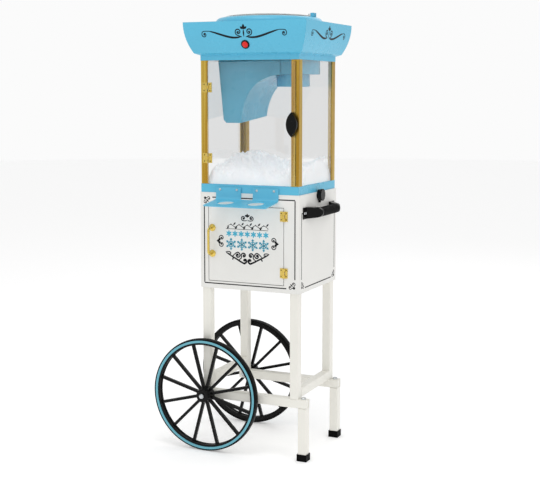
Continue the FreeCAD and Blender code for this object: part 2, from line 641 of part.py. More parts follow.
# ---------------------------------------------------------------- handle
def make_handle():
    """Wide castings on the wall hold the ends of a bar, which carries a foam grip."""
    reach, end, half = size("handle_reach"), size("handle_end"), size("grip_half")
    nose, tall, foot, socket = size("grip_radius"), size("handle_tall") / 2, 3, 6
    plan = [(0, end), (foot, end), (foot, end - 21), (reach + nose - 5, half + 12),
            (reach + nose, half + 5), (reach + nose, half), (reach - nose, half), (reach - nose, half + 3),
            (foot + 2, half + 18), (0, half + 18)]
    side = [(0, tall), (foot + 3, tall), (reach, nose), ("arc", (reach + nose, 0), (reach, -nose)),
            (foot + 3, -tall), (0, -tall)]
    x, z = f"{SIDE} + handle_reach", "handle_height"
    castings = []
    for name, along, out in (("front", -1, "-y"), ("rear", 1, "+y")):
        casting = body(f"handle_casting_{name}", SIDE, "0", z)
        drawing = sketch(casting, f"handle_plan_{name}", "XY_Plane", "-handle_tall / 2")
        outline(drawing, [(across, along * far) for across, far in plan])
        pad(casting, drawing, "handle_tall")
        taper = body(f"handle_taper_{name}", SIDE, "0", z)
        drawing = sketch(taper, f"handle_side_{name}", "XZ_Plane", "-handle_end - 1")
        outline(drawing, side)
        pad(taper, drawing, "2 * handle_end + 2")
        shape = common(f"handle_shape_{name}", casting, taper)
        hole = rod(f"handle_socket_{name}", "bar_radius + 0.05", socket + 1, x,
                   f"{along} * (grip_half - 1)", z, out)
        castings.append(cut(f"handle_bracket_{name}", shape, hole))
    piece(group("handle_brackets", *castings))
    piece(rod("handle_bar", "bar_radius", f"2 * grip_half + {2 * socket}", x, f"-grip_half - {socket}", z,
              "+y"))
    foam = rod("grip_outside", "grip_radius", "2 * grip_half - 0.4", x, "0.2 - grip_half", z, "+y")
    hole = rod("grip_bore", "bar_radius", "2 * grip_half + 2", x, "-grip_half - 1", z, "+y")
    piece(cut("handle_grip", foam, hole))


# ---------------------------------------------------------------- ice display cabinet
DRAIN_X = 108


def make_tray():
    """Moulded pan: a rim that carries the posts and panes, round a shallow well."""
    outside = block("tray_outside", even("tray_width / 2"), even("tray_depth / 2"),
                    ("cabinet_top", "tray_top"))
    well = block("tray_well", even("well_width / 2"), even("well_depth / 2"),
                 ("cabinet_top + tray_wall", "tray_top + 1"))
    under = block("tray_under", even("tray_width / 2 - tray_wall"), even("tray_depth / 2 - tray_wall"),
                  ("cabinet_top - 1", "tray_top - tray_wall"))
    pan = block("tray_pan", even("well_width / 2 + tray_wall"), even("well_depth / 2 + tray_wall"),
                ("cabinet_top - 2", "tray_top"))
    drain = rod("tray_drain", "tap_radius - 1.5", 10, DRAIN_X, "0", "cabinet_top - 2")
    piece(cut("ice_tray", outside, well, cut("tray_groove", under, pan), drain))


def make_drain_tap():
    """Elbow under the tray's drain, pipe to a valve case on the wall, its spout and turning knob."""
    bore = "tap_radius - 1.5"
    middle = f"{SIDE} + valve_thick / 2"
    solids = [
        rod("tap_flange", "tap_radius + 6", 2.4, DRAIN_X, "0", "cabinet_top - 2.4"),
        rod("tap_drop", "tap_radius", "cabinet_top - tap_height", DRAIN_X, "0", "tap_height"),
        rod("tap_pipe", "tap_radius", f"{SIDE} + 1 - {DRAIN_X} + tap_radius", f"{DRAIN_X} - tap_radius",
            "0", "tap_height", "+x"),
        rod("tap_valve", "valve_radius", "valve_thick", SIDE, "0", "tap_height", "+x"),
        rod("tap_spout", "spout_radius", "outlet_drop", middle, "0", "tap_height - outlet_drop"),
    ]
    hollows = [
        rod("tap_drop_bore", bore, "cabinet_top + 1 - tap_height", DRAIN_X, "0", "tap_height"),
        rod("tap_pipe_bore", bore, f"{SIDE} + valve_thick - {DRAIN_X}", f"{DRAIN_X} - 1", "0",
            "tap_height", "+x"),
        rod("tap_spout_bore", "outlet_radius", "outlet_drop + 1", middle, "0",
            "tap_height - outlet_drop - 1"),
    ]
    piece(cut("drain_tap", fuse("tap_moulding", *solids), *hollows))
    knob = body("drain_knob", f"{SIDE} + valve_thick + 0.2", "0", "tap_height", TURN["+x"])
    disc = sketch(knob, "drain_knob_section")
    lobes, thick, groove = 12, 6.5, 2.2
    circle(disc, "tap_knob")
    pad(knob, disc, thick)
    notch = sketch(knob, "drain_knob_notch")
    circle(notch, groove, size("tap_knob") + 1)
    slot = knob.newObject("PartDesign::Pocket", "drain_knob_slot")
    slot.Profile = notch
    slot.Length = thick
    slot.Reversed = True
    around = knob.newObject("PartDesign::PolarPattern", "drain_knob_grip")
    around.Originals = [slot]
    around.Axis = (notch, ["N_Axis"])
    around.Angle = 360
    around.Occurrences = lobes
    knob.Tip = around
    piece(knob)


def make_posts():
    """Four angle posts on the tray's rim, mirrored from corner to corner."""
    for end, along in (("front", -1), ("rear", 1)):
        for side, across in (("left", -1), ("right", 1)):
            name = f"post_{end}_{side}"
            leg, thick = size("post_leg"), size("post_sheet")
            post = body(name, f"{across} * post_width / 2", f"{along} * post_depth / 2", "tray_top")
            section = sketch(post, name + "_section")
            corners = [(0, 0), (leg, 0), (leg, thick), (thick, thick), (thick, leg), (0, leg)]
            outline(section, [(-across * x, -along * y) for x, y in corners])
            pad(post, section, "canopy_base - tray_top")
            piece(post)


def make_panes():
    """Side and back panes inside the posts' flanges, and the glass door with its knob."""
    height = ("tray_top + 0.2", "canopy_base - 0.2")
    inside_x = "post_width / 2 - post_sheet - 0.2"
    inside_y = "post_depth / 2 - post_sheet - 0.2"
    for side, across in (("left", -1), ("right", 1)):
        faces = [f"{across} * ({inside_x})", f"{across} * ({inside_x} - pane)"]
        if across > 0:
            faces.reverse()
        piece(block(f"pane_{side}", tuple(faces), (f"-({inside_y})", f"{inside_y}"), height))
    piece(block("pane_back", (f"pane + 0.2 - ({inside_x})", f"{inside_x} - pane - 0.2"),
                (f"{inside_y} - pane", inside_y), height))
    piece(block("glass_door_pane", ("-glass_left", "glass_right"), (GLASS_FACE, f"{GLASS_FACE} + pane"),
                ("glass_base", "glass_top")))
    knob = body("glass_door_knob", "knob_right", GLASS_FACE, "knob_height")
    lens = sketch(knob, "knob_outline", "XZ_Plane")
    half_height, half_width = 33, 15.5
    for bulge in (half_width, -half_width):
        lens.addGeometry(Part.Arc(Vector(0, -half_height, 0), Vector(bulge, 0, 0),
                                  Vector(0, half_height, 0)))
    raw = pad(knob, lens, "knob_thick")
    face = -size("knob_thick")
    fillet(knob, raw, 3.5, lambda edge: all(abs(vertex.Y - face) < 1e-6 for vertex in edge.Vertexes))
    piece(knob)


def make_ice():
    """Heap of shaved ice that fills the tray's well and leans on the panes."""
    base = block("ice_base", even("well_width / 2 - 1"), even("well_depth / 2 - 1"),
                 ("cabinet_top + tray_wall + 0.3", "tray_top + 2"))
    bound = block("ice_bound", even("post_width / 2 - 9"), even("post_depth / 2 - 8", "-1"),
                  ("tray_top + 0.3", "ice_top"))
    crown = doc.addObject("Part::Sphere", "ice_crown")
    bind(crown, "Radius", "ice_round")
    place(crown, "-ice_left", "ice_back", "ice_top - ice_round")
    piece(fuse("shaved_ice", base, common("ice_heap", bound, crown)))


# ---------------------------------------------------------------- canopy
def flare_outline(half_start, half_end, inset):
    """Closed outline of the canopy across one axis, with its flare as a single arc."""
    base, top = size("canopy_base"), size("canopy_top")
    low = size("flare_base")
    band = base + size("band_height")
    narrow = size("tray_width") / 2 + half_end - size("flare_end") - inset
    rise, spread = top - low, half_end - half_start
    radius = (rise ** 2 + spread ** 2) / (2 * spread) - inset
    centre = half_end - inset - radius
    start = centre + math.sqrt(radius ** 2 - rise ** 2)
    middle = centre + math.sqrt(radius ** 2 - (rise / 2) ** 2)
    wide, level = half_end - inset, low + rise / 2
    right = [(narrow, base), (narrow, band), (start, low), ("arc", (middle, level), (wide, top))]
    left = [(-wide, top), ("arc", (-middle, level), (-start, low)), (-narrow, band), (-narrow, base)]
    return right + left


def canopy_solid(name, inset):
    """The flare across X, limited by the flare across Y, so the corners are mitred."""
    reach = 2 * size("flare_end") + 20
    half = size("flare_end")
    spans = []
    for axis, plane, shift in (("wide", "XZ_Plane", 0), ("deep", "YZ_Plane", size("depth_less"))):
        owner = body(f"{name}_{axis}")
        drawing = sketch(owner, f"{name}_{axis}_outline", plane, str(-reach / 2))
        outline(drawing, flare_outline(size("flare_start") - shift, half - shift, inset))
        pad(owner, drawing, str(reach))
        spans.append(owner)
    return common(name, *spans)


def tilted(along):
    """Turn from +Z to the flare's outward normal at the switch's height, on the front or the back."""
    rise = size("canopy_top") - size("flare_base")
    spread = size("flare_end") - size("flare_start")
    radius = (rise ** 2 + spread ** 2) / (2 * spread)
    down = (size("canopy_top") - size("switch_height")) / radius
    return Rotation(Vector(0, 0, 1), Vector(0, along * math.sqrt(1 - down ** 2), -down))


def switch_depth():
    """Half depth of the canopy at the switch's height."""
    rise = size("canopy_top") - size("flare_base")
    spread = size("flare_end") - size("flare_start")
    radius = (rise ** 2 + spread ** 2) / (2 * spread)
    drop = size("canopy_top") - size("switch_height")
    return size("flare_end") - size("depth_less") - radius + math.sqrt(radius ** 2 - drop ** 2)


SWITCH_X, GLAND_X = 1.3, -100


def flare_hole(name, radius, x, along):
    """A rod square to the flare at the switch's height, through the front or back wall."""
    normal = tilted(along).multVec(Vector(0, 0, 1))
    inner = Vector(x, along * switch_depth(), 0) - normal * 12
    return rod(name, radius, 30, x, inner.y, f"switch_height + {inner.z}", tilted(along))


def make_canopy():
    """Flared shell with its ceiling plate, top deck and cord gland."""
    outside = canopy_solid("canopy_outside", 0)
    inside = canopy_solid("canopy_inside", size("canopy_wall"))
    piece(cut("canopy", outside, inside, flare_hole("switch_hole", "switch_radius + 0.2", SWITCH_X, -1),
              flare_hole("gland_hole", 6.2, GLAND_X, 1)))
    plate = block("ceiling_plate", even("tray_width / 2 - canopy_wall - 0.2"),
                  even("tray_depth / 2 - canopy_wall - 0.2"), ("canopy_base", "canopy_base + 2"))
    opening = rod("ceiling_opening", "drum_radius + 0.3", 10, "drum_x", "drum_y", "canopy_base - 4")
    piece(cut("canopy_ceiling", plate, opening))
    make_deck()
    gland = [(0, -9), (6, -9), (6, 0), (10, 0), (10, 4), (7.5, 6), (5.5, 18), (3.6, 18), (3.6, 5), (0, 5)]
    piece(turned("cord_gland", gland, GLAND_X, switch_depth(), "switch_height", tilted(1)))


def make_deck():
    """Top deck inside the rim, with the raised round plateau and the hopper's mouth."""
    level = size("canopy_top") - 4
    outer, mouth, top, wall = size("dome_radius"), size("mouth_radius"), size("dome_top"), 2.5
    deck = body("deck_moulding")
    plate = sketch(deck, "deck_plate", "XY_Plane", str(level))
    centred_rectangle(plate, "2 * (flare_end - canopy_wall - 0.4)",
                      "2 * (flare_end - depth_less - canopy_wall - 0.4)")
    circle(plate, f"dome_radius - {wall}")
    pad(deck, plate, wall)
    ring = sketch(deck, "deck_dome", "XZ_Plane")
    shoulder = outer - 17
    bulge = (outer - 4.5, top - 5.5)
    under = (outer - 4.5 - wall, top - 5.5 - wall)
    outline(ring, [(outer, level), ("arc", bulge, (shoulder, top)), (mouth, top), (mouth, top - wall),
                   (shoulder, top - wall), ("arc", under, (outer - wall, level))])
    revolve(deck, ring)
    piece(deck, "top_deck")
    depth = 9
    width, pin = even(5, "lid_hinge"), ("lid_hinge", -depth, "dome_top + lid_lift", "+y")
    cheeks = [block(f"hinge_cheek_{end}", width, span, ("dome_top", "lid_top"))
              for end, span in (("front", (-depth, "-lid_ear - 0.3")), ("rear", ("lid_ear + 0.3", depth)))]
    foot = block("hinge_foot", width, even(depth), ("dome_top", "dome_top + 1"))
    ears = cut("lid_hinge_ears", fuse("lid_hinge_raw", *cheeks, foot),
               rod("hinge_hole", "lid_pin", 2 * depth, *pin))
    piece(group("lid_hinge_block", ears, rod("lid_hinge_pin", "lid_pin", 2 * depth, *pin)))


def crown_middle(crown, end):
    """Middle point of the arc that leaves the axis level at the crown's height and ends at a point."""
    drop = crown - end[1]
    radius = (end[0] ** 2 + drop ** 2) / (2 * drop)
    half = math.asin(end[0] / radius) / 2
    return (radius * math.sin(half), crown - radius * (1 - math.cos(half)))


def make_lid():
    """Shallow translucent dome that closes the hopper's mouth, with a hinge ear on the right."""
    radius, crown = size("lid_radius"), size("lid_top")
    rest, wall = size("dome_top") + 0.4, 2.5
    shoulder, brim = (radius - 8, rest + 5), (radius - 12, rest)
    profile = [(0, crown), ("arc", crown_middle(crown, shoulder), shoulder), (radius, rest + 3),
               (radius, rest), brim, ("arc", crown_middle(crown - wall, brim), (0, crown - wall))]
    dome = turned("lid_dome", profile, "0", "0", "0")
    ear = block("lid_ear_arm", ("lid_radius - 4", "lid_hinge"), even("lid_ear"),
                ("dome_top + 2.6", "dome_top + 9"))
    height = "dome_top + lid_lift"
    knuckle = rod("lid_knuckle", 3.6, "2 * lid_ear", "lid_hinge", "-lid_ear", height, "+y")
    bore = rod("lid_bore", "lid_pin + running_gap", 20, "lid_hinge", "-10", height, "+y")
    piece(cut("lid", fuse("lid_raw", dome, ear, knuckle), bore))


def make_hopper():
    """Skewed funnel from the round mouth down to the cutter housing."""
    mouth_z, throat_z = size("dome_top") - 3, size("drum_top") - 2
    mouth, throat, wall = size("mouth_radius") - 2, size("drum_radius") - 7, 2.5
    middle = Vector(size("cart_x"), size("cart_y"), mouth_z)
    cutter = Vector(size("cart_x") + size("drum_x"), size("cart_y") + size("drum_y"), throat_z)
    up = Vector(0, 0, 1)
    skins = []
    for inset in (0, wall):
        rings = [Part.Wire(Part.Circle(centre, up, radius - inset).toShape())
                 for centre, radius in ((cutter, throat), (middle, mouth))]
        skins.append(Part.makeLoft(rings, True))
    funnel = doc.addObject("Part::Feature", "hopper")
    funnel.Shape = skins[0].cut(skins[1])
    piece(funnel)


def duct(name, front, back, inset):
    """The chute's outline, drawn in from its outer skin, between two planes along Y."""
    top, base = size("canopy_base") - 0.2 - inset, size("chute_base")
    run, rise = size("chute_curve") + inset, size("drum_base") - base - 2 + inset
    left, lip = inset - size("chute_left"), -size("chute_lip") - inset
    centre = lip + run
    foot = base - 1 if inset else base
    owner = body(name, "0", front, "0")
    drawing = sketch(owner, name + "_outline", "XZ_Plane")
    route = [(centre, base + rise), (centre, top), (left, top), (left + 16, base + 8), (left + 24, foot),
             (lip, foot)]
    if inset:
        route.append((lip, base))
    for start, end in zip(route, route[1:]):
        drawing.addGeometry(Part.LineSegment(Vector(*start, 0), Vector(*end, 0)))
    oval = Part.Ellipse(Vector(centre, base + rise, 0), Vector(lip, base, 0), Vector(centre, base, 0))
    drawing.addGeometry(Part.ArcOfEllipse(oval, 0, math.pi / 2))
    solid = pad(owner, drawing, f"({back}) - ({front})")
    solid.Reversed = True
    return owner, solid


def sweep(name, inset):
    """Room in front of the chute's wall where it turns back to meet the cutter housing."""
    front = inset - size("chute_front")
    owner = body(name, "0", "0", "chute_base")
    drawing = sketch(owner, name + "_plan")
    outline(drawing, [(-32, front), ("arc", (-5, front + 6), (20, front + 16.5)),
                      ("arc", (46, front + 28.5), (72, front + 37)), (90, front + 37),
                      (90, front - 10), (-32, front - 10)])
    pad(owner, drawing, "canopy_base - chute_base + 1")
    return owner


def make_chute():
    """Duct that drops the shaved ice, with a curved underside and a mouth that rises to the back."""
    outer, solid = duct("chute_outside", "-chute_front", "chute_back", 0)
    fillet(outer, solid, 4, lambda edge: all(abs(vertex.Y) < 1e-6 for vertex in edge.Vertexes)
           and edge.Vertexes[0].Z + edge.Vertexes[-1].Z > 2 * size("chute_base") + 1)
    inner = duct("chute_inside", "chute_wall - chute_front", "chute_back - chute_wall", size("chute_wall"))[0]
    skin = cut("chute_skin", outer, sweep("chute_sweep", 0))
    hollow = cut("chute_hollow", inner, sweep("chute_hollow_sweep", size("chute_wall")))
    drum = rod("chute_drum_cut", "drum_radius + 0.3", 80, "drum_x", "drum_y", "drum_base - 4")
    cover = rod("chute_cover_cut", "motor_radius + 0.3", 80, "drum_x", "drum_y", "motor_base - 4")
    front, back = -size("chute_front") - 5, size("chute_back") + 5
    climb = size("chute_rise") / (back - front - 10)
    slant = body("chute_slant", "-chute_left - 5", "0", "chute_base")
    drawing = sketch(slant, "chute_slant_side", "YZ_Plane")
    outline(drawing, [(front, -3), (back, -3), (back, climb * (back - front - 5)), (front, -5 * climb)])
    pad(slant, drawing, "chute_left + chute_curve")
    piece(cut("chute", skin, hollow, drum, cover, slant))


def make_cutter():
    """Housing with a window to the chute, motor under it, and the bladed disc on the motor's shaft."""
    at = ("drum_x", "drum_y")
    radius, wall = size("drum_radius"), 3
    base, top = size("drum_base"), size("drum_top")
    drum = turned("drum_shell", [(21, base), (radius, base), (radius, top), (radius - wall, top),
                                 (radius - wall, base + wall), (21, base + wall)], *at, "0")
    window = block("drum_window", ("drum_x - drum_radius - 2", "drum_x - 40"), ("-25", "52"),
                   (f"drum_base + {wall} + 1", "canopy_base - 4"))
    piece(cut("cutter_housing", drum, window))
    shell, low = size("motor_radius"), size("motor_base")
    piece(turned("motor_cover", [(0, low), (shell - 2, low), (shell, low + 2), (shell, base - 0.1),
                                 (shell - 2, base - 0.1), (shell - 2, low + 2), (0, low + 2)], *at, "0"))
    shaft = 4.0
    bearing = shaft + size("running_gap")
    piece(turned("motor", [(0, low + 3), (39, low + 3), (39, base - 1), (20.5, base - 1), (20.5, base + 9),
                           (bearing, base + 9), (bearing, low + 12), (0, low + 12)], *at, "0"))
    flange = [(shaft, base + 22), (12, base + 22), (12, base + 27), (shaft, base + 27)]
    spindle = [(0, low + 12.5), (shaft, low + 12.5), *flange, (shaft, base + 40), (0, base + 40)]
    piece(turned("motor_shaft", spindle, *at, "0"))
    disc = body("disc_blank", *at, "drum_base + 27")
    plate = sketch(disc, "disc_outline")
    circle(plate, "drum_radius - 7")
    circle(plate, shaft)
    pad(disc, plate, 4)
    slots, blades = [], []
    for number in range(3):
        turn = Rotation(Vector(0, 0, 1), 120 * number)
        slot = doc.addObject("Part::Box", f"disc_slot_{number}")
        slot.Length, slot.Width, slot.Height = 44, 6, 10
        corner = turn.multVec(Vector(16, -3, 0))
        place(slot, f"drum_x + {corner.x}", f"drum_y + {corner.y}", "drum_base + 24", turn)
        slots.append(slot)
        blade = doc.addObject("Part::Box", f"blade_{number}")
        blade.Length, blade.Width, blade.Height = 42, 9, 1.5
        corner = turn.multVec(Vector(17, 3.2, 0))
        place(blade, f"drum_x + {corner.x}", f"drum_y + {corner.y}", "drum_base + 31", turn)
        blades.append(blade)
    piece(cut("cutter_disc", disc, *slots))
    piece(group("cutter_blades", *blades))


def make_switch():
    """Push switch square to the flare: bezel and barrel in one body, and the domed button."""
    barrel = size("switch_radius")
    y = -switch_depth()
    bezel = [(barrel, 0), (barrel + 2, 0), (barrel + 2, 1.5), (barrel + 1, 2.8), (8.8, 2.8)]
    case = [(0, -22), (barrel, -22), *bezel, (8.8, -6), (4.3, -6), (4.3, -14), (0, -14)]
    piece(turned("switch_body", case, SWITCH_X, y, "switch_height", tilted(-1)))
    brim = (8.4, 3)
    button = [(0, -10), (4, -10), (4, -3), (8.4, -3), brim, ("arc", crown_middle(6, brim), (0, 6))]
    piece(turned("start_button", button, SWITCH_X, y, "switch_height", tilted(-1)))


# ---------------------------------------------------------------- cone shelf and screws
def make_shelf():
    """Sheet that rises a little towards the cabinet, with two cone holes, bent up against the tray."""
    thick, bend, reach = size("shelf_sheet"), size("shelf_bend"), size("shelf_reach")
    face = size("cabinet_depth") / 2
    wall = face + 0.1
    slope = math.atan(size("shelf_rise") / (reach - face))
    rise, run = math.sin(slope), math.cos(slope)

    def at(distance, depth):
        """A point behind the front edge and under the sheet's upper surface."""
        return (distance * run + depth * rise - reach, size("shelf_top") + distance * rise - depth * run)

    far = (reach - wall - bend + (bend - thick) * rise) / run
    centre_y, centre_z = at(far, thick - bend)
    middle = (slope - math.pi / 2) / 2

    def bulge(radius):
        """The middle point of the bend's arc."""
        return (centre_y + radius * math.cos(middle), centre_z + radius * math.sin(middle))

    owner = body("shelf_bent", "-shelf_left", "0", "0")
    side = sketch(owner, "shelf_side", "YZ_Plane")
    outline(side, [at(0, thick), at(far, thick), ("arc", bulge(bend), (-wall, centre_z)),
                   (-wall, size("shelf_tab")), (-wall - thick, size("shelf_tab")),
                   (-wall - thick, centre_z), ("arc", bulge(bend - thick), at(far, 0)), at(0, 0)])
    raw = pad(owner, side, "shelf_left + shelf_right")
    fillet(owner, raw, 8, lambda edge: all(vertex.Y < 1 - reach for vertex in edge.Vertexes)
           and abs(edge.Vertexes[0].X - edge.Vertexes[1].X) < 1e-6)
    square = Rotation(Vector(0, 0, 1), Vector(0, -rise, run))
    half = 8
    level = f"shelf_top + shelf_rise * (shelf_reach - cone_row) / (shelf_reach - {FACE}) - {half * run}"
    holes = [rod(f"cone_hole_{name}", "cone_hole", 2 * half, x, f"-cone_row + {half * rise}", level, square)
             for name, x in (("left", "-cone_left"), ("right", "cone_right"))]
    notch = block("shelf_notch", even(18, "(shelf_right - shelf_left) / 2"),
                  (f"-{FACE} - 10", f"-{FACE} + 1"), ("shelf_top + shelf_rise + 0.5", "shelf_tab + 1"))
    piece(cut("cone_shelf", owner, *holes, notch))


def make_screws():
    """Pan-head screws in the back panel, the shelf and the handle, threaded into their sheets."""
    head = [(0, 0), (3.6, 0), (3.4, 1.2), (2, 2.2), (0, 2.4)]
    screws = []

    def screw(x, y, z, out):
        name = f"screw_{len(screws)}"
        dome = turned(name + "_head", head, x, y, z, TURN[out])
        shank = rod(name + "_shank", 1.8, 4, x, y, z, {"+y": "-y", "-y": "+y", "+x": "-x"}[out])
        screws.append(fuse(name, dome, shank))

    for x in ("-132", "0", "132"):
        for z in ("cabinet_base + 9.5", "cabinet_top - 9.5"):
            screw(x, f"{FACE} + sheet", z, "+y")
    for x in ("-86", "-35", "25", "76"):
        screw(x, f"-{FACE} - 0.1 - shelf_sheet", "shelf_tab - 7", "-y")
    for along in (-1, 1):
        for inset in (5.5, 15):
            screw(f"{SIDE} + 3", f"{along} * (handle_end - {inset})", "handle_height", "+x")
    piece(group("panel_screws", *screws))


# ---------------------------------------------------------------- build, check and write
make_legs()
make_rail("front", -1)
make_rail("rear", 1)
make_cross_bars()
rail_bolts = make_feet()
make_wheel("front", -1)
make_wheel("rear", 1)
piece(group("stand_bolts", *rail_bolts, *make_axles()))
make_cabinet()
make_catch()
make_storage_door()
make_hinges()
make_handle()
make_tray()
make_drain_tap()
make_posts()
make_panes()
make_ice()
make_canopy()
make_lid()
make_hopper()
make_chute()
make_cutter()
make_switch()
make_shelf()
make_screws()
doc.recompute()

faults = [item.Name for item in doc.Objects if {"Invalid", "Error"} & set(item.State)]
faults += [item.Label for item in pieces if item.Shape.isNull() or not item.Shape.isValid()]
if faults:
    raise RuntimeError(f"failed objects: {sorted(set(faults))}")
os.makedirs("parts", exist_ok=True)
for item in pieces:
    item.Shape.exportStep(f"parts/{item.Label}.step")
    print(f"{item.Label:24s} solids {len(item.Shape.Solids):2d}  volume {item.Shape.Volume / 1000:9.2f} cm3")
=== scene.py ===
"""Looks of the shaved ice machine: materials, printed ornaments, the ice, light and camera."""
import json
import math
import random

import bmesh
import bpy
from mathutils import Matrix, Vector, noise


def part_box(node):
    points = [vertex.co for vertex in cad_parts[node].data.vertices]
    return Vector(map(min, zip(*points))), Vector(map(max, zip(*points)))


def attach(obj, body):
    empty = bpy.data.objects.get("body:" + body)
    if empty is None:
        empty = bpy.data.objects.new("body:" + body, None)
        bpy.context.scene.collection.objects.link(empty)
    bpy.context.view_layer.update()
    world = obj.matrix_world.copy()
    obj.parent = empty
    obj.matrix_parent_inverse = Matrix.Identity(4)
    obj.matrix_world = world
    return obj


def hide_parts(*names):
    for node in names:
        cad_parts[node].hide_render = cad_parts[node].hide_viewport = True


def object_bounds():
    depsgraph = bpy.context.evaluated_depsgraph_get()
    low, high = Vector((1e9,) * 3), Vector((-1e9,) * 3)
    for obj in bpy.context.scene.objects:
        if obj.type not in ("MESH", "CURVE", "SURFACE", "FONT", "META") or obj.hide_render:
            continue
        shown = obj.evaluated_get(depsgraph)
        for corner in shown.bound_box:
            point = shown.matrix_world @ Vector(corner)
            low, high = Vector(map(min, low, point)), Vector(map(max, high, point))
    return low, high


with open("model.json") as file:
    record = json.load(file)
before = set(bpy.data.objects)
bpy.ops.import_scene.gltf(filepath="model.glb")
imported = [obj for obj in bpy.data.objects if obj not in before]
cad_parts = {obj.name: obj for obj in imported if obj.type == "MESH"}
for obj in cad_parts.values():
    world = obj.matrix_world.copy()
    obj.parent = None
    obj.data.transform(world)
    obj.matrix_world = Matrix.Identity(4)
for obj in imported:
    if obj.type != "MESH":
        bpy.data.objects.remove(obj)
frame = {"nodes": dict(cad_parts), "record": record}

MM = 0.001
cad_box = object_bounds()


# ---------------------------------------------------------------- materials

EVEN, ALONG_Z, ALONG_Y = (1, 1, 1), (1, 1, 60), (1, 60, 1)    # how a noise is stretched along X, Y and Z
NOISE_LOW, NOISE_HIGH = 0.3, 0.7       # most of a noise's values lie between these
TONE_LOW, TONE_HIGH = 0.35, 0.65       # a tint's two colours run into each other between these
EDGE_SAMPLES = 6                       # rays that find a softened edge
LINE = 0.35 * MM                       # width of the lines drawn in metal
PLAIN_LIGHT = (1.0, 1.0, 1.0, 1.0)


def srgb(red, green, blue):
    """A linear colour from screen values of 0 to 255."""
    def linear(value):
        value /= 255
        return value / 12.92 if value <= 0.04045 else ((value + 0.055) / 1.055) ** 2.4
    return (linear(red), linear(green), linear(blue), 1.0)


def finish(name, colour, roughness, **sockets):
    """A material with one Principled shader. Other sockets are named with _ for their spaces."""
    material = bpy.data.materials.new(name)
    material.use_nodes = True
    inputs = material.node_tree.nodes["Principled BSDF"].inputs
    inputs["Base Color"].default_value = colour
    inputs["Roughness"].default_value = roughness
    for socket, value in sockets.items():
        inputs[socket.replace("_", " ")].default_value = value
    return material


def shader_of(material):
    """The material's Principled shader."""
    return material.node_tree.nodes["Principled BSDF"]


def grain(material, size, stretch=EVEN, detail=3.0):
    """Noise fixed to the piece, with features of about size metres, longer where stretch is over 1."""
    tree = material.node_tree
    place = tree.nodes.new("ShaderNodeTexCoord")
    spread = tree.nodes.new("ShaderNodeMapping")
    spread.inputs["Scale"].default_value = [1 / (size * longer) for longer in stretch]
    texture = tree.nodes.new("ShaderNodeTexNoise")
    texture.inputs["Scale"].default_value = 1
    texture.inputs["Detail"].default_value = detail
    tree.links.new(place.outputs["Object"], spread.inputs["Vector"])
    tree.links.new(spread.outputs["Vector"], texture.inputs["Vector"])
    return texture.outputs["Fac"]


def cells(material, size):
    """Distance from the middle of cells of about size metres, for crystals and pebbled rubber."""
    tree = material.node_tree
    place = tree.nodes.new("ShaderNodeTexCoord")
    texture = tree.nodes.new("ShaderNodeTexVoronoi")
    texture.inputs["Scale"].default_value = 1 / size
    tree.links.new(place.outputs["Object"], texture.inputs["Vector"])
    return texture.outputs["Distance"]


def tint(material, factor, first, second):
    """The base colour runs from first to second with factor."""
    tree = material.node_tree
    ramp = tree.nodes.new("ShaderNodeValToRGB")
    for stop, position, colour in zip(ramp.color_ramp.elements, (TONE_LOW, TONE_HIGH), (first, second)):
        stop.position = position
        stop.color = colour
    tree.links.new(factor, ramp.inputs["Fac"])
    tree.links.new(ramp.outputs["Color"], shader_of(material).inputs["Base Color"])


def dull(material, factor, low, high):
    """Roughness runs from low to high with factor."""
    tree = material.node_tree
    remap = tree.nodes.new("ShaderNodeMapRange")
    for socket, value in (("From Min", NOISE_LOW), ("From Max", NOISE_HIGH),
                          ("To Min", low), ("To Max", high)):
        remap.inputs[socket].default_value = value
    tree.links.new(factor, remap.inputs["Value"])
    tree.links.new(remap.outputs["Result"], shader_of(material).inputs["Roughness"])


def relief(material, factor, depth, edge=0.0):
    """Bump of that depth in metres, on edges softened by a radius of edge metres."""
    tree = material.node_tree
    bump = tree.nodes.new("ShaderNodeBump")
    bump.inputs["Distance"].default_value = depth
    tree.links.new(factor, bump.inputs["Height"])
    if edge:
        soft = tree.nodes.new("ShaderNodeBevel")
        soft.samples = EDGE_SAMPLES
        soft.inputs["Radius"].default_value = edge
        tree.links.new(soft.outputs["Normal"], bump.inputs["Normal"])
    tree.links.new(bump.outputs["Normal"], shader_of(material).inputs["Normal"])


def mix_by_ray(tree, kind, first, second, output):
    """The output shows shader first, but second for rays of that kind."""
    rays = tree.nodes.new("ShaderNodeLightPath")
    mixed = tree.nodes.new("ShaderNodeMixShader")
    tree.links.new(rays.outputs[kind], mixed.inputs["Fac"])
    tree.links.new(first, mixed.inputs[1])
    tree.links.new(second, mixed.inputs[2])
    tree.links.new(mixed.outputs["Shader"], tree.nodes[output].inputs["Surface"])


def shade(colour, share):
    """colour with its brightness multiplied by share."""
    return (*(channel * share for channel in colour[:3]), 1.0)


def powder_coat(name, colour):
    """Satin powder coat: a fine orange peel and a slight change of tone over a hand's width."""
    material = finish(name, colour, 0.35, Specular_IOR_Level=0.45)
    tint(material, grain(material, 120 * MM), shade(colour, 0.965), colour)
    dull(material, grain(material, 30 * MM), 0.3, 0.42)
    relief(material, grain(material, 1.1 * MM), 0.05 * MM, edge=0.8 * MM)
    return material


def moulding(name, colour, roughness=0.28, edge=0.8 * MM, gloss=0.4):
    """Glossy moulded plastic: soft flow marks and a faint ripple."""
    material = finish(name, colour, roughness, Specular_IOR_Level=gloss)
    tint(material, grain(material, 90 * MM, stretch=(1.6, 1.6, 1)), shade(colour, 0.97), colour)
    dull(material, grain(material, 40 * MM), roughness - 0.04, roughness + 0.06)
    relief(material, grain(material, 60 * MM, detail=0.0), 0.02 * MM, edge=edge)
    return material


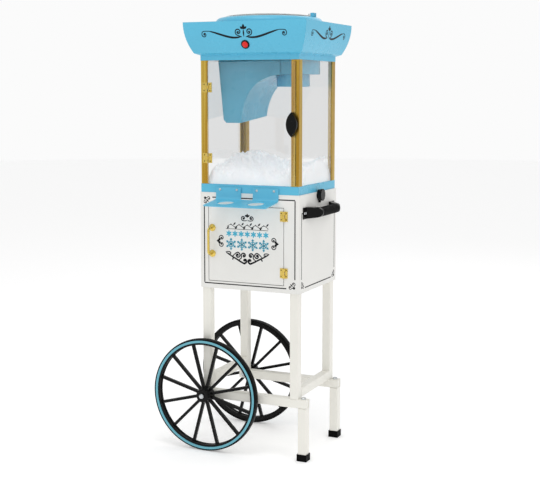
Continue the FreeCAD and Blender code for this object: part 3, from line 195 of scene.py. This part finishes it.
def drawn_lines(material, marks, roughness):
    """The change of gloss and the relief of fine lines in metal."""
    dull(material, marks, roughness - 0.07, roughness + 0.1)
    relief(material, marks, 0.012 * MM, edge=0.5 * MM)


def brushed(name, colour, roughness, stretch, size=LINE):
    """Metal with marks of size metres, which are lines where they are stretched."""
    material = finish(name, colour, roughness, Metallic=1.0)
    marks = grain(material, size, stretch=stretch, detail=2.0)
    tint(material, marks, shade(colour, 0.86), colour)
    drawn_lines(material, marks, roughness)
    return material


def anodised(name, colour, dark, roughness):
    """Anodised upright profile: long bands of two tones with fine drawn lines over them."""
    material = finish(name, colour, roughness, Metallic=1.0)
    tint(material, grain(material, 7 * MM, stretch=ALONG_Z, detail=1.0), dark, colour)
    drawn_lines(material, grain(material, LINE, stretch=ALONG_Z, detail=2.0), roughness)
    return material


def rubber(name, colour, size, depth, roughness=0.6):
    """Rubber or foam with a skin of pebbles of that size and depth."""
    material = finish(name, colour, roughness, Specular_IOR_Level=0.07)
    tint(material, grain(material, 30 * MM), shade(colour, 0.7), colour)
    dull(material, grain(material, 5 * MM), roughness - 0.1, roughness + 0.12)
    relief(material, cells(material, size), depth)
    return material


def clear_sheet(name, colour, roughness, **sockets):
    """Glassy sheet that lamps shine through, with faint wipe marks."""
    material = finish(name, colour, roughness, IOR=1.49, Transmission_Weight=1.0, **sockets)
    dull(material, grain(material, 50 * MM, stretch=(1, 1, 3)), roughness, roughness + 0.05)
    tree = material.node_tree
    see_through = tree.nodes.new("ShaderNodeBsdfTransparent")
    see_through.inputs["Color"].default_value = colour
    mix_by_ray(tree, "Is Shadow Ray", shader_of(material).outputs["BSDF"], see_through.outputs["BSDF"],
               "Material Output")
    return material


def packed_ice(name):
    """Shaved ice: white, slightly see-through grains, with a painted glow that makes it brighter than its
    light would.
    """
    white, hollow_shade = srgb(253, 253, 254), srgb(236, 240, 246)
    # The emission is a painted glow: the ice is no lamp, and it shines to look brighter.
    material = finish(name, white, 0.55, Subsurface_Weight=0.3, Subsurface_Scale=8 * MM, IOR=1.31,
                      Emission_Color=PLAIN_LIGHT, Emission_Strength=0.25)
    shader_of(material).inputs["Subsurface Radius"].default_value = (0.6, 0.9, 1.0)
    crystals = cells(material, 1.6 * MM)
    # The bluish tone is painted shade of the ice's hollows. A noise lays it in random patches, not the
    # heap's shape.
    tint(material, grain(material, 5 * MM, detail=6.0), hollow_shade, white)
    dull(material, crystals, 0.3, 0.8)
    relief(material, crystals, 1.0 * MM)
    return material


AQUA = srgb(95, 188, 220)
CREAM = srgb(238, 236, 228)
WHITE = srgb(234, 233, 229)
BLACK = srgb(7, 7, 7)
BRASS = srgb(228, 199, 104)

finishes = {
    "cream_paint": powder_coat("cream_powder_coat", CREAM),
    "white_paint": powder_coat("white_powder_coat", WHITE),
    "aqua_plastic": moulding("aqua_moulding", AQUA, edge=1.6 * MM, gloss=0.35),
    "aqua_paint": powder_coat("aqua_enamel", AQUA),
    "aqua_band": moulding("blue_green_band", srgb(106, 176, 192), roughness=0.4),
    "black_plastic": moulding("black_moulding", BLACK, roughness=0.26, edge=0.6 * MM, gloss=0.16),
    "black_rubber": rubber("black_rubber", BLACK, 1.5 * MM, 0.15 * MM),
    "tyre_rubber": rubber("tyre_rubber", BLACK, 2.5 * MM, 0.08 * MM, roughness=0.42),
    "foam": rubber("black_foam", BLACK, 0.9 * MM, 0.2 * MM, roughness=0.7),
    "zinc": brushed("zinc_plate", srgb(205, 208, 210), 0.3, EVEN, size=3 * MM),
    "steel": brushed("stainless_steel", srgb(196, 198, 200), 0.28, ALONG_Y),
    "gold": anodised("gold_anodised", srgb(206, 177, 82), srgb(180, 139, 50), 0.3),
    "brass": brushed("polished_brass", BRASS, 0.2, EVEN, size=4 * MM),
    "acrylic": clear_sheet("clear_acrylic", (0.995, 0.998, 0.998, 1.0), 0.0, Specular_IOR_Level=0.15),
    "smoke": clear_sheet("smoky_acrylic", (0.88, 0.90, 0.90, 1.0), 0.35),
    "ice": packed_ice("shaved_ice"),
    "red_plastic": moulding("red_lens", srgb(222, 30, 24), roughness=0.14, edge=0.3 * MM),
}
black_ink = finish("black_ink", srgb(16, 18, 24), 0.45, Specular_IOR_Level=0.2)
aqua_ink = finish("aqua_ink", srgb(74, 178, 206), 0.4, Specular_IOR_Level=0.3)
dark_brass = finish("screw_slots", shade(BRASS, 0.25), 0.4, Metallic=1.0)

for part in frame["record"]["subparts"]:
    for holder in frame["nodes"][part["node"]].material_slots:
        holder.material = finishes[part["material_slot"]]


# ---------------------------------------------------------------- printed ornaments

INK = 0.12 * MM                        # height of a print's face over its surface
INK_FOOT = 0.15 * INK                  # gap left under a print
CURVE_STEPS = 6                        # points for each span of a smooth curve
CURL_STEPS = 9                         # points for each turn of a curl
DOT_SIDES = 12
LEAF_SIDE = [(0.25, 0.36), (0.55, 0.5), (0.8, 0.3)]    # half a leaf, in shares of its length and width


def heading(degrees):
    """The unit vector at that angle from the u axis."""
    angle = math.radians(degrees)
    return Vector((math.cos(angle), math.sin(angle)))


def smooth(points):
    """A Catmull-Rom curve through points, as many more points."""
    ends = [2 * points[0] - points[1], *points, 2 * points[-1] - points[-2]]
    curve = []
    for a, b, c, d in zip(ends, ends[1:], ends[2:], ends[3:]):
        for step in range(CURVE_STEPS):
            t = step / CURVE_STEPS
            curve.append(0.5 * (2 * b + (c - a) * t + (2 * a - 5 * b + 4 * c - d) * t ** 2
                                + (3 * b - a - 3 * c + d) * t ** 3))
    return [*curve, points[-1]]


def curl(centre, radius, start, turns, inner=0.3):
    """Points of a spiral round centre, from radius in to inner times that.

    start is in degrees. turns may be negative.
    """
    count = max(4, round(abs(turns) * CURL_STEPS))
    points = []
    for step in range(count + 1):
        share = step / count
        reach = radius * (1 - (1 - inner) * share)
        points.append(Vector(centre) + reach * heading(start + 360 * turns * share))
    return points


def hook(stem, centre, radius, start, turns, inner=0.3):
    """A smooth curve along the stem's points that ends in the curl that the other values give."""
    return smooth([*(Vector(point) for point in stem), *curl(centre, radius, start, turns, inner)])


def from_centre(u, v):
    """A function that turns millimetres across and up from a centre into a point of the surface."""
    return lambda across, up: Vector((u + across * MM, v + up * MM))


def traced(points, at, sign=1):
    """points in millimetres placed by at, mirrored where sign is -1."""
    return [at(sign * point.x, point.y) for point in points]


class Print:
    """A flat ornament in ink on one surface. place(u, v, lift) gives a point in the object's frame."""

    def __init__(self, name, body, ink, place):
        self.name, self.body, self.ink, self.place = name, body, ink, place
        self.mesh = bmesh.new()

    def shell(self, rings):
        """A closed solid through rings, each a list of points of the surface with their lift."""
        rings = [[self.mesh.verts.new(self.place(point.x, point.y, lift)) for point, lift in ring]
                 for ring in rings]
        for first, second in zip(rings, rings[1:]):
            for index in range(len(first)):
                following = (index + 1) % len(first)
                self.mesh.faces.new((first[index], first[following], second[following], second[index]))
        self.mesh.faces.new(rings[0])
        self.mesh.faces.new(rings[-1])

    def stroke(self, points, width, ends=0.3):
        """A pen stroke along points, ends times as wide at its ends as in the middle."""
        rings, last = [], len(points) - 1
        for index, point in enumerate(points):
            along = (points[min(index + 1, last)] - points[max(index - 1, 0)]).normalized()
            swell = ends + (1 - ends) * math.sin(math.pi * index / last) ** 0.5
            side = Vector((-along.y, along.x)) * width * swell / 2
            left, right = point + side, point - side
            rings.append([(left, INK_FOOT), (right, INK_FOOT), (right, INK), (left, INK)])
        self.shell(rings)

    def line(self, start, end, width):
        """A straight ruled line of even width."""
        self.stroke([Vector(start), Vector(end)], width, ends=1)

    def patch(self, points):
        """A filled shape with the given outline."""
        self.shell([[(point, lift) for point in points] for lift in (INK_FOOT, INK)])

    def dot(self, centre, radius):
        """A round dot."""
        self.patch([Vector(centre) + radius * heading(360 * side / DOT_SIDES) for side in range(DOT_SIDES)])

    def petal(self, foot, angle, length, width):
        """A pointed leaf from foot, leaning angle degrees from the u axis."""
        along = heading(angle)
        across = Vector((-along.y, along.x))
        outline = [(0, 0), *LEAF_SIDE, (1, 0), *((far, -wide) for far, wide in reversed(LEAF_SIDE))]
        self.patch([Vector(foot) + along * length * far + across * width * wide for far, wide in outline])

    def done(self):
        """Closes the print and makes it a piece of the object."""
        bmesh.ops.recalc_face_normals(self.mesh, faces=self.mesh.faces)
        add_piece(self.name, self.mesh, self.body, self.ink)


def add_piece(name, mesh, body, material, smooth_faces=False):
    """The bmesh as a piece of the object that rides on body."""
    data = bpy.data.meshes.new(name)
    mesh.to_mesh(data)
    mesh.free()
    data.materials.append(material)
    for polygon in data.polygons:
        polygon.use_smooth = smooth_faces
    piece = bpy.data.objects.new(name, data)
    bpy.context.scene.collection.objects.link(piece)
    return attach(piece, body)


def front_face(depth):
    """A place function for an upright face that looks along -Y."""
    return lambda u, v, lift: Vector((u, depth - lift, v))


def side_face(across, out):
    """A place function for an upright face that looks along out times X."""
    return lambda u, v, lift: Vector((across + out * lift, u, v))


FLARE_RISE, FLARE_INSET = 83 * MM, 22 * MM     # the canopy wall's arc, from its top edge down and in
SCROLL_DROP = 29 * MM                          # from the canopy's top edge to its scrolls' centre
canopy_low, canopy_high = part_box("canopy")
canopy_mid = (canopy_low + canopy_high) / 2
flare_radius = (FLARE_RISE ** 2 + FLARE_INSET ** 2) / (2 * FLARE_INSET)


def flare_at(height):
    """How far the wall has come in from its top edge at height, and its outward direction there."""
    below = canopy_high.z - height
    level = math.sqrt(flare_radius ** 2 - below ** 2)
    return flare_radius - level, Vector((level / flare_radius, -below / flare_radius))


def flare_front(u, v, lift):
    """A point on the canopy's front wall."""
    inset, (out, down) = flare_at(v)
    return Vector((u, canopy_low.y + inset - out * lift, v + down * lift))


def flare_side(sign):
    """A place function for the canopy's wall on that side."""
    edge = canopy_high.x if sign > 0 else canopy_low.x

    def place(u, v, lift):
        inset, (out, down) = flare_at(v)
        return Vector((edge - sign * (inset - out * lift), u, v + down * lift))
    return place


def canopy_scroll(name, place, middle):
    """A long S on each side of a double curl with a three-petal bud."""
    art = Print(name, "cart", black_ink, place)
    at = from_centre(middle, canopy_high.z - SCROLL_DROP)
    long_s = [(9, -12.5), (20, -14.5), (36, -14), (56, -9.5), (81, -2), (101, 3.2)]
    sweep = hook(long_s, (117, -5), 8.5, 80, -1.1)
    joint = CURVE_STEPS * (len(long_s) - 1)
    inner = hook([(6, -13.5), (13, -10.5)], (16, 0), 9, -60, 1.25)
    for sign in (-1, 1):
        art.stroke(traced(sweep[:joint + 1], at, sign), 5.4 * MM, ends=0.3)
        art.stroke(traced(sweep[joint - 1:], at, sign), 2.4 * MM, ends=0.7)
        art.dot(at(sign * 117, -5), 2.6 * MM)
        art.stroke(traced(inner, at, sign), 3 * MM, ends=0.6)
        art.dot(at(sign * 16, 0), 2.4 * MM)
        art.petal(at(sign * 1, 7), 90 - sign * 52, 11 * MM, 6.4 * MM)
    art.petal(at(0, 6), 90, 15 * MM, 7.4 * MM)
    art.petal(at(0, 8), -90, 22 * MM, 4.4 * MM)
    art.done()


canopy_scroll("canopy_scroll_front", flare_front, canopy_mid.x)
canopy_scroll("canopy_scroll_right", flare_side(1), canopy_mid.y)
canopy_scroll("canopy_scroll_left", flare_side(-1), canopy_mid.y)

PEN = 3.1 * MM                         # width of the ruled lines
INSET = 13.5 * MM                      # from the cabinet's edges to the ruled lines
CORNER = 25 * MM                       # length of line that a corner scroll takes up
FOOT_MARGIN = 0.5 * MM                 # gap between a line's end and the handle's brackets
cabinet_low, cabinet_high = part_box("cabinet_body")


def corner_scroll(art, corner, across, up):
    """Two small curls and a leaf round a dark bud in a corner of the ruled frame."""
    def at(x, z):
        return Vector(corner) + Vector((across * x * MM, up * z * MM))
    spiral = hook([(4.5, 5), (7, 2.2)], (13.4, 3.8), 5, 200, 0.95, inner=0.45)
    art.stroke([at(point.x, point.y) for point in spiral], 2 * MM, ends=0.6)
    art.stroke([at(point.y, point.x) for point in spiral], 2 * MM, ends=0.6)
    art.petal(at(6, 6), math.degrees(math.atan2(up, across)), 11 * MM, 4 * MM)
    art.dot(at(2.6, 2.6), 3.6 * MM)
    art.dot(at(14.2, 5.2), 2 * MM)
    art.dot(at(5.2, 14.2), 2 * MM)


def ruled_frame(name, place, low, high, scrolls, top_gaps=()):
    """Frame lines with a scroll at each corner that scrolls names, as (left or right, low or high).

    The top line leaves out top_gaps, the spans where something fixed to the wall covers it.
    """
    art = Print(name, "cart", black_ink, place)
    across, height = {-1: low[0], 1: high[0]}, {-1: low[1], 1: high[1]}
    for up in (-1, 1):
        stops = [across[side] - side * CORNER * ((side, up) in scrolls) for side in (-1, 1)]
        if up > 0:
            stops = sorted([*stops, *(end for gap in top_gaps for end in gap)])
        for start, end in zip(stops[::2], stops[1::2]):
            art.line((start, height[up]), (end, height[up]), PEN)
    for side in (-1, 1):
        start, end = (height[up] - up * (CORNER if (side, up) in scrolls else PEN / 2) for up in (-1, 1))
        art.line((across[side], start), (across[side], end), PEN)
    for side, up in scrolls:
        corner_scroll(art, (across[side], height[up]), -side, -up)
    art.done()


frame_low = (cabinet_low.x + INSET, cabinet_low.z + INSET)
frame_high = (cabinet_high.x - INSET, cabinet_high.z - INSET)
ruled_frame("frame_line_front", front_face(cabinet_low.y), frame_low, frame_high, [(-1, 1), (1, -1)])

# The side frames' top line runs at the handle's height, and the handle's feet cover parts of it.
handle_low, handle_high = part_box("handle_brackets")
side_top = (handle_low.z + handle_high.z) / 2
grip_low, grip_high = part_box("handle_grip")
feet = [(handle_low.y - FOOT_MARGIN, grip_low.y), (grip_high.y, handle_high.y + FOOT_MARGIN)]
for side_name, sign, wall, gaps in (("left", -1, cabinet_low.x, ()), ("right", 1, cabinet_high.x, feet)):
    ruled_frame(f"frame_line_{side_name}", side_face(wall, sign),
                (cabinet_low.y + INSET, frame_low[1]), (cabinet_high.y - INSET, side_top),
                [(-1, -1), (1, -1)], gaps)


# ---------------------------------------------------------------- door art

door_low, door_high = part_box("storage_door_panel")
door_face = front_face(door_low.y)
ART_LEFT, ART_RISE = 5 * MM, 14 * MM           # from the cabinet's and the door's middle to the art's
door_at = from_centre((cabinet_low.x + cabinet_high.x) / 2 - ART_LEFT,
                      (door_low.z + door_high.z) / 2 + ART_RISE)


def snowflake(art, centre, radius):
    """Six branched arms, a generic sign for ice. Its sizes are shares of its radius."""
    tip = 0.94
    for arm in range(6):
        angle = 60 * arm + 30
        along = heading(angle) * radius
        art.line(centre + along * 0.1, centre + along * tip, radius * 0.17)
        for share, twig in ((0.36, 0.32), (0.68, 0.28)):
            fork = centre + along * share
            for lean in (-55, 55):
                art.line(fork, fork + heading(angle + lean) * radius * twig, radius * 0.14)
        art.dot(centre + along * tip, radius * 0.12)
    art.dot(centre, radius * 0.22)


def ice_star(art, centre, radius):
    """Six plump petals."""
    for arm in range(6):
        art.petal(centre, 60 * arm + 30, radius, radius * 0.46)


def crest(art, sign):
    """Half of the two curls and leaves at the top."""
    half = hook([(1, 53), (7, 52)], (12, 59), 6.6, -80, 1.15)
    art.stroke(traced(half, door_at, sign), 2.8 * MM, ends=0.6)
    art.dot(door_at(sign * 12, 59), 2.2 * MM)
    art.petal(door_at(sign * 1, 63), 90 - sign * 50, 8 * MM, 5 * MM)


def bow(art, sign):
    """Two curls, one over the other, with leaves between them, at one side."""
    level, rise = -7, 9
    half = hook([(86, 0)], (78.5, rise), 7.6, -15, 1.1)
    for up in (-1, 1):
        placed = [Vector((point.x, level + up * point.y)) for point in half]
        art.stroke(traced(placed, door_at, sign), 2.6 * MM, ends=0.6)
        art.dot(door_at(sign * 78.5, level + up * rise), 2.2 * MM)
        art.petal(door_at(sign * 85, level), up * 90, 8.5 * MM, 8 * MM)
    art.petal(door_at(sign * 84, level), 0 if sign > 0 else 180, 10 * MM, 7 * MM)


def garland(art, sign):
    """Half of the heavy scrollwork that hangs under the snowflakes."""
    wave = hook([(64, -38), (50, -46), (34, -54), (19, -62), (9, -66)], (8, -58.5), 6.6, -95, -0.8)
    art.stroke(traced(wave, door_at, sign), 5.2 * MM, ends=0.5)
    art.dot(door_at(sign * 7.5, -58), 2.6 * MM)
    tip = hook([(66, -37), (60, -35.5)], (54, -40), 4.4, 80, 0.9)
    art.stroke(traced(tip, door_at, sign), 3 * MM, ends=0.6)
    inner = hook([(46, -49), (38, -41)], (29, -44), 8, 80, 1.2)
    art.stroke(traced(inner, door_at, sign), 3.6 * MM, ends=0.6)
    art.dot(door_at(sign * 29, -44), 2.6 * MM)
    heart = hook([(26, -57), (19, -52)], (11, -44), 8, -30, 1.05)
    art.stroke(traced(heart, door_at, sign), 3.8 * MM, ends=0.6)
    art.dot(door_at(sign * 11, -43.5), 2.8 * MM)
    art.petal(door_at(sign * 42, -50), -68 if sign > 0 else 248, 9 * MM, 4.6 * MM)


def vine(art):
    """A wavy stem with a leaf and a berry at each wave, over a ruled line."""
    start, pitch, level, swing, waves = -62, 12.4, 37, 3, 10
    stem = smooth([Vector((start + pitch * step, level + (swing if step % 2 else -swing)))
                   for step in range(waves + 1)])
    art.stroke(traced(stem, door_at), 1.8 * MM, ends=0.8)
    for step in range(waves):
        up, wave = 1 if step % 2 else -1, start + pitch * step
        art.petal(door_at(wave + 7, level + up * 1.5), 90 - up * 90 + 48, 11 * MM, 4.4 * MM)
        art.dot(door_at(wave + 12.5, level - up * 4.5), 1.3 * MM)
    art.line(door_at(-65, 28), door_at(62, 28), 1.3 * MM)


def door_ornaments():
    """Black scrollwork round aqua ice stars and snowflakes."""
    art = Print("door_scrollwork", "storage_door", black_ink, door_face)
    for sign in (-1, 1):
        crest(art, sign)
        bow(art, sign)
        garland(art, sign)
    art.petal(door_at(0, 60), 90, 12 * MM, 6.4 * MM)
    vine(art)
    art.done()
    flakes = Print("door_snowflakes", "storage_door", aqua_ink, door_face)
    for step in range(-3, 4):
        ice_star(flakes, door_at(18.6 * step, 15), 9.6 * MM)
    for step in (-1.5, -0.5, 0.5, 1.5):
        snowflake(flakes, door_at(33 * step, -14), 16 * MM)
    flakes.done()


door_ornaments()


# ---------------------------------------------------------------- hinge screws

HINGE_HEIGHT = 27 * MM
KNUCKLE = 3 * MM                       # radius of a knuckle round the pin
LEAF_GAP = 1 * MM                      # from a knuckle to the flat of its leaf
LEAF_THICK = 1.5 * MM
SCREW_HEAD = 2 * MM                    # radius of a screw head
SCREW_SPREAD = 8.5 * MM                # from a hinge's middle up and down to its screws


def hinge_screws(node, body, side, door_depth, frame_depth):
    """Two dark screw heads down each leaf of a door's hinges, whose door leaves are on side of the pins."""
    low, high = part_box(node)
    axis = (low.x if side > 0 else high.x) + side * KNUCKLE
    middle = (high.x - low.x + LEAF_GAP) / 2
    for name, rider, way, depth in (("door", body, side, door_depth), ("frame", "cart", -side, frame_depth)):
        art = Print(f"{node}_{name}_screws", rider, dark_brass, front_face(depth - LEAF_THICK))
        for hinge in (low.z + HINGE_HEIGHT / 2, high.z - HINGE_HEIGHT / 2):
            for level in (hinge - SCREW_SPREAD, hinge + SCREW_SPREAD):
                art.dot((axis + way * middle, level), SCREW_HEAD)
        art.done()


hinge_screws("storage_hinge_leaves", "storage_door", -1, door_low.y, cabinet_low.y)
hinge_screws("glass_hinge_leaves", "glass_door", 1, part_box("glass_door_pane")[0].y,
             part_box("post_front_left")[0].y)


# ---------------------------------------------------------------- ice

ice_low, ice_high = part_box("shaved_ice")
ice_size = ice_high - ice_low
RIM = 0.2 * MM                         # gap between the heap and the space it fills
HEAP_COLUMNS, HEAP_ROWS = 128, 116
SHOULDER = 24                          # the heap rounds off over its width and depth divided by this
FLAKES = 5200
FLAKE_REACH = 0.8 * MM, 2.6 * MM       # a flake's size, from its middle out
FLAKE_MARGIN = 6 * MM                  # from the heap's sides to the nearest flake's middle
ICE_LEVEL, ICE_RISE = 0.46, 0.1        # height at the front without mounds, and what the back adds
MOUNDS = [                             # height, place across and along, width, depth, all as shares
    (0.4, 0.17, 0.84, 0.26, 0.36),
    (0.12, 0.55, 0.85, 0.18, 0.3),
    (0.28, 1.0, 0.8, 0.2, 0.4),
    (0.16, 0.05, 0.35, 0.2, 0.35),
]
LUMP_SCALE, LUMP_SLICE = 3.1, 0.4      # where the lumps' noise is read
LUMPS = [(0.05, 1.7), (0.06, 4.3), (0.11, 7.3), (0.06, 19)]    # height and fineness, coarse to crumbs
random.seed(11)


def ice_height(across, along):
    """Height of the heap above its foot, as a share of the tallest, at shares across and along the tray."""
    heap = ICE_LEVEL + ICE_RISE * along
    for height, x, y, width, depth in MOUNDS:
        heap += height * math.exp(-((across - x) / width) ** 2 - ((along - y) / depth) ** 2)
    spot = Vector((across * LUMP_SCALE, along * LUMP_SCALE, LUMP_SLICE))
    for height, fineness in LUMPS:
        heap += height * noise.noise(spot * fineness)
    slope = min(1.0, SHOULDER * min(across, 1 - across, along, 1 - along)) ** 0.5
    return min(1.0, max(0.02, heap * slope))


def make_heap():
    """One closed heap that fills its CAD solid's box."""
    heap = bmesh.new()
    top = []
    for row in range(HEAP_ROWS + 1):
        line = []
        for column in range(HEAP_COLUMNS + 1):
            across, along = column / HEAP_COLUMNS, row / HEAP_ROWS
            rise = ice_height(across, along)
            line.append(heap.verts.new((ice_low.x + RIM + across * (ice_size.x - 2 * RIM),
                                        ice_low.y + RIM + along * (ice_size.y - 2 * RIM),
                                        ice_low.z + rise * (ice_size.z - RIM))))
        top.append(line)
    for low, high in zip(top, top[1:]):
        for column in range(HEAP_COLUMNS):
            heap.faces.new((low[column], low[column + 1], high[column + 1], high[column]))
    border = [*top[0], *(line[-1] for line in top[1:]), *reversed(top[-1][:-1]),
              *(line[0] for line in reversed(top[1:-1]))]
    foot = [heap.verts.new((vert.co.x, vert.co.y, ice_low.z + RIM)) for vert in border]
    for index in range(len(border)):
        following = (index + 1) % len(border)
        heap.faces.new((border[following], border[index], foot[index], foot[following]))
    heap.faces.new(foot)
    bmesh.ops.recalc_face_normals(heap, faces=heap.faces)
    piece = add_piece("ice_heap", heap, "cart", finishes["ice"], smooth_faces=True)
    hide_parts("shaved_ice")


def make_flakes():
    """Loose flakes, half sunk in the top of the heap and under the height of its CAD solid."""
    flakes = bmesh.new()
    for _ in range(FLAKES):
        x = random.uniform(ice_low.x + FLAKE_MARGIN, ice_high.x - FLAKE_MARGIN)
        y = random.uniform(ice_low.y + FLAKE_MARGIN, ice_high.y - FLAKE_MARGIN)
        reach = random.uniform(*FLAKE_REACH)
        share = ((x - ice_low.x) / ice_size.x, (y - ice_low.y) / ice_size.y)
        z = ice_low.z + ice_height(*share) * (ice_size.z - RIM) + 0.2 * reach
        flake(flakes, Vector((x, y, min(z, ice_high.z - reach))), reach)
    add_piece("ice_flakes", flakes, "cart", finishes["ice"])


def flake(mesh, centre, reach):
    """A shard of ice: two crooked points over and under a crooked four-sided ring."""
    def corner(*direction):
        stretch = [value * random.uniform(0.5, 1.0) for value in direction]
        return mesh.verts.new(centre + Vector(stretch) * reach)
    ring = [corner(1, 0.3, 0.4), corner(-0.3, 1, -0.4), corner(-1, -0.3, 0.4), corner(0.3, -1, -0.4)]
    tips = [corner(0.2, 0.2, 0.8), corner(-0.2, -0.2, -0.8)]
    for index in range(4):
        first, second = ring[index], ring[(index + 1) % 4]
        mesh.faces.new((first, second, tips[0]))
        mesh.faces.new((second, first, tips[1]))


make_heap()
make_flakes()


# ---------------------------------------------------------------- floor, light and camera

FLOOR_RADIUS = 14                      # metres
FLOOR_DROP = 0.2 * MM                  # gap between the feet and the floor
FOCAL_LENGTH, SENSOR_WIDTH = 73.87, 36                 # millimetres
CAMERA_PLACE = (1.33756, -2.82244, 1.00119)
CAMERA_DOWN, CAMERA_TURN = 6.444, 24.323               # degrees below level, and to the object's right
FRAME_SHIFT = -0.04                                    # of the picture's width


def make_floor():
    """A pale disc, well wider than any view of the object."""
    disc = bmesh.new()
    bmesh.ops.create_circle(disc, cap_ends=True, segments=96, radius=FLOOR_RADIUS)
    data = bpy.data.meshes.new("floor")
    disc.to_mesh(data)
    disc.free()
    data.materials.append(finish("pale_floor", (0.94, 0.94, 0.94, 1.0), 0.75, Specular_IOR_Level=0.2,
                                 Emission_Color=PLAIN_LIGHT, Emission_Strength=0.24))
    floor = bpy.data.objects.new("floor", data)
    floor.location.z = cad_box[0].z - FLOOR_DROP
    bpy.context.scene.collection.objects.link(floor)


def lamp(name, place, size, power):
    """A square soft box, size metres wide and power watts strong, that looks at the object's middle."""
    light = bpy.data.lights.new(name, "AREA")
    light.size = size
    light.energy = power
    holder = bpy.data.objects.new(name, light)
    holder.location = place
    target = (cad_box[0] + cad_box[1]) / 2
    holder.rotation_euler = (target - holder.location).to_track_quat("-Z", "Y").to_euler()
    bpy.context.scene.collection.objects.link(holder)


def make_sky(strength, seen):
    """A white room of that strength, which looks as bright as seen where nothing stands before it."""
    world = bpy.data.worlds.new("studio")
    world.use_nodes = True
    tree = world.node_tree
    room = tree.nodes["Background"]
    room.inputs["Color"].default_value = PLAIN_LIGHT
    room.inputs["Strength"].default_value = strength
    backdrop = tree.nodes.new("ShaderNodeBackground")
    backdrop.inputs["Color"].default_value = PLAIN_LIGHT
    backdrop.inputs["Strength"].default_value = seen
    mix_by_ray(tree, "Is Camera Ray", room.outputs["Background"], backdrop.outputs["Background"],
               "World Output")
    bpy.context.scene.world = world


def make_camera():
    """A long lens that looks at the front and the right side from above the middle."""
    lens = bpy.data.cameras.new("camera")
    lens.lens = FOCAL_LENGTH
    lens.sensor_width = SENSOR_WIDTH
    lens.shift_y = FRAME_SHIFT
    holder = bpy.data.objects.new("camera", lens)
    holder.location = CAMERA_PLACE
    holder.rotation_euler = (math.radians(90 - CAMERA_DOWN), 0, math.radians(CAMERA_TURN))
    bpy.context.scene.collection.objects.link(holder)
    bpy.context.scene.camera = holder


make_floor()
make_sky(strength=0.74, seen=0.965)
lamp("key", (2.9, -1.3, 2.3), 1.4, 10)
lamp("fill", (-1.0, -2.6, 2.0), 1.6, 3)
lamp("top", (0.1, -0.9, 3.2), 1.2, 13)
lamp("back", (0.4, 2.6, 2.6), 2.0, 10)
make_camera()
# Colours come out as they are given, with no film curve.
bpy.context.scene.view_settings.view_transform = "Standard"
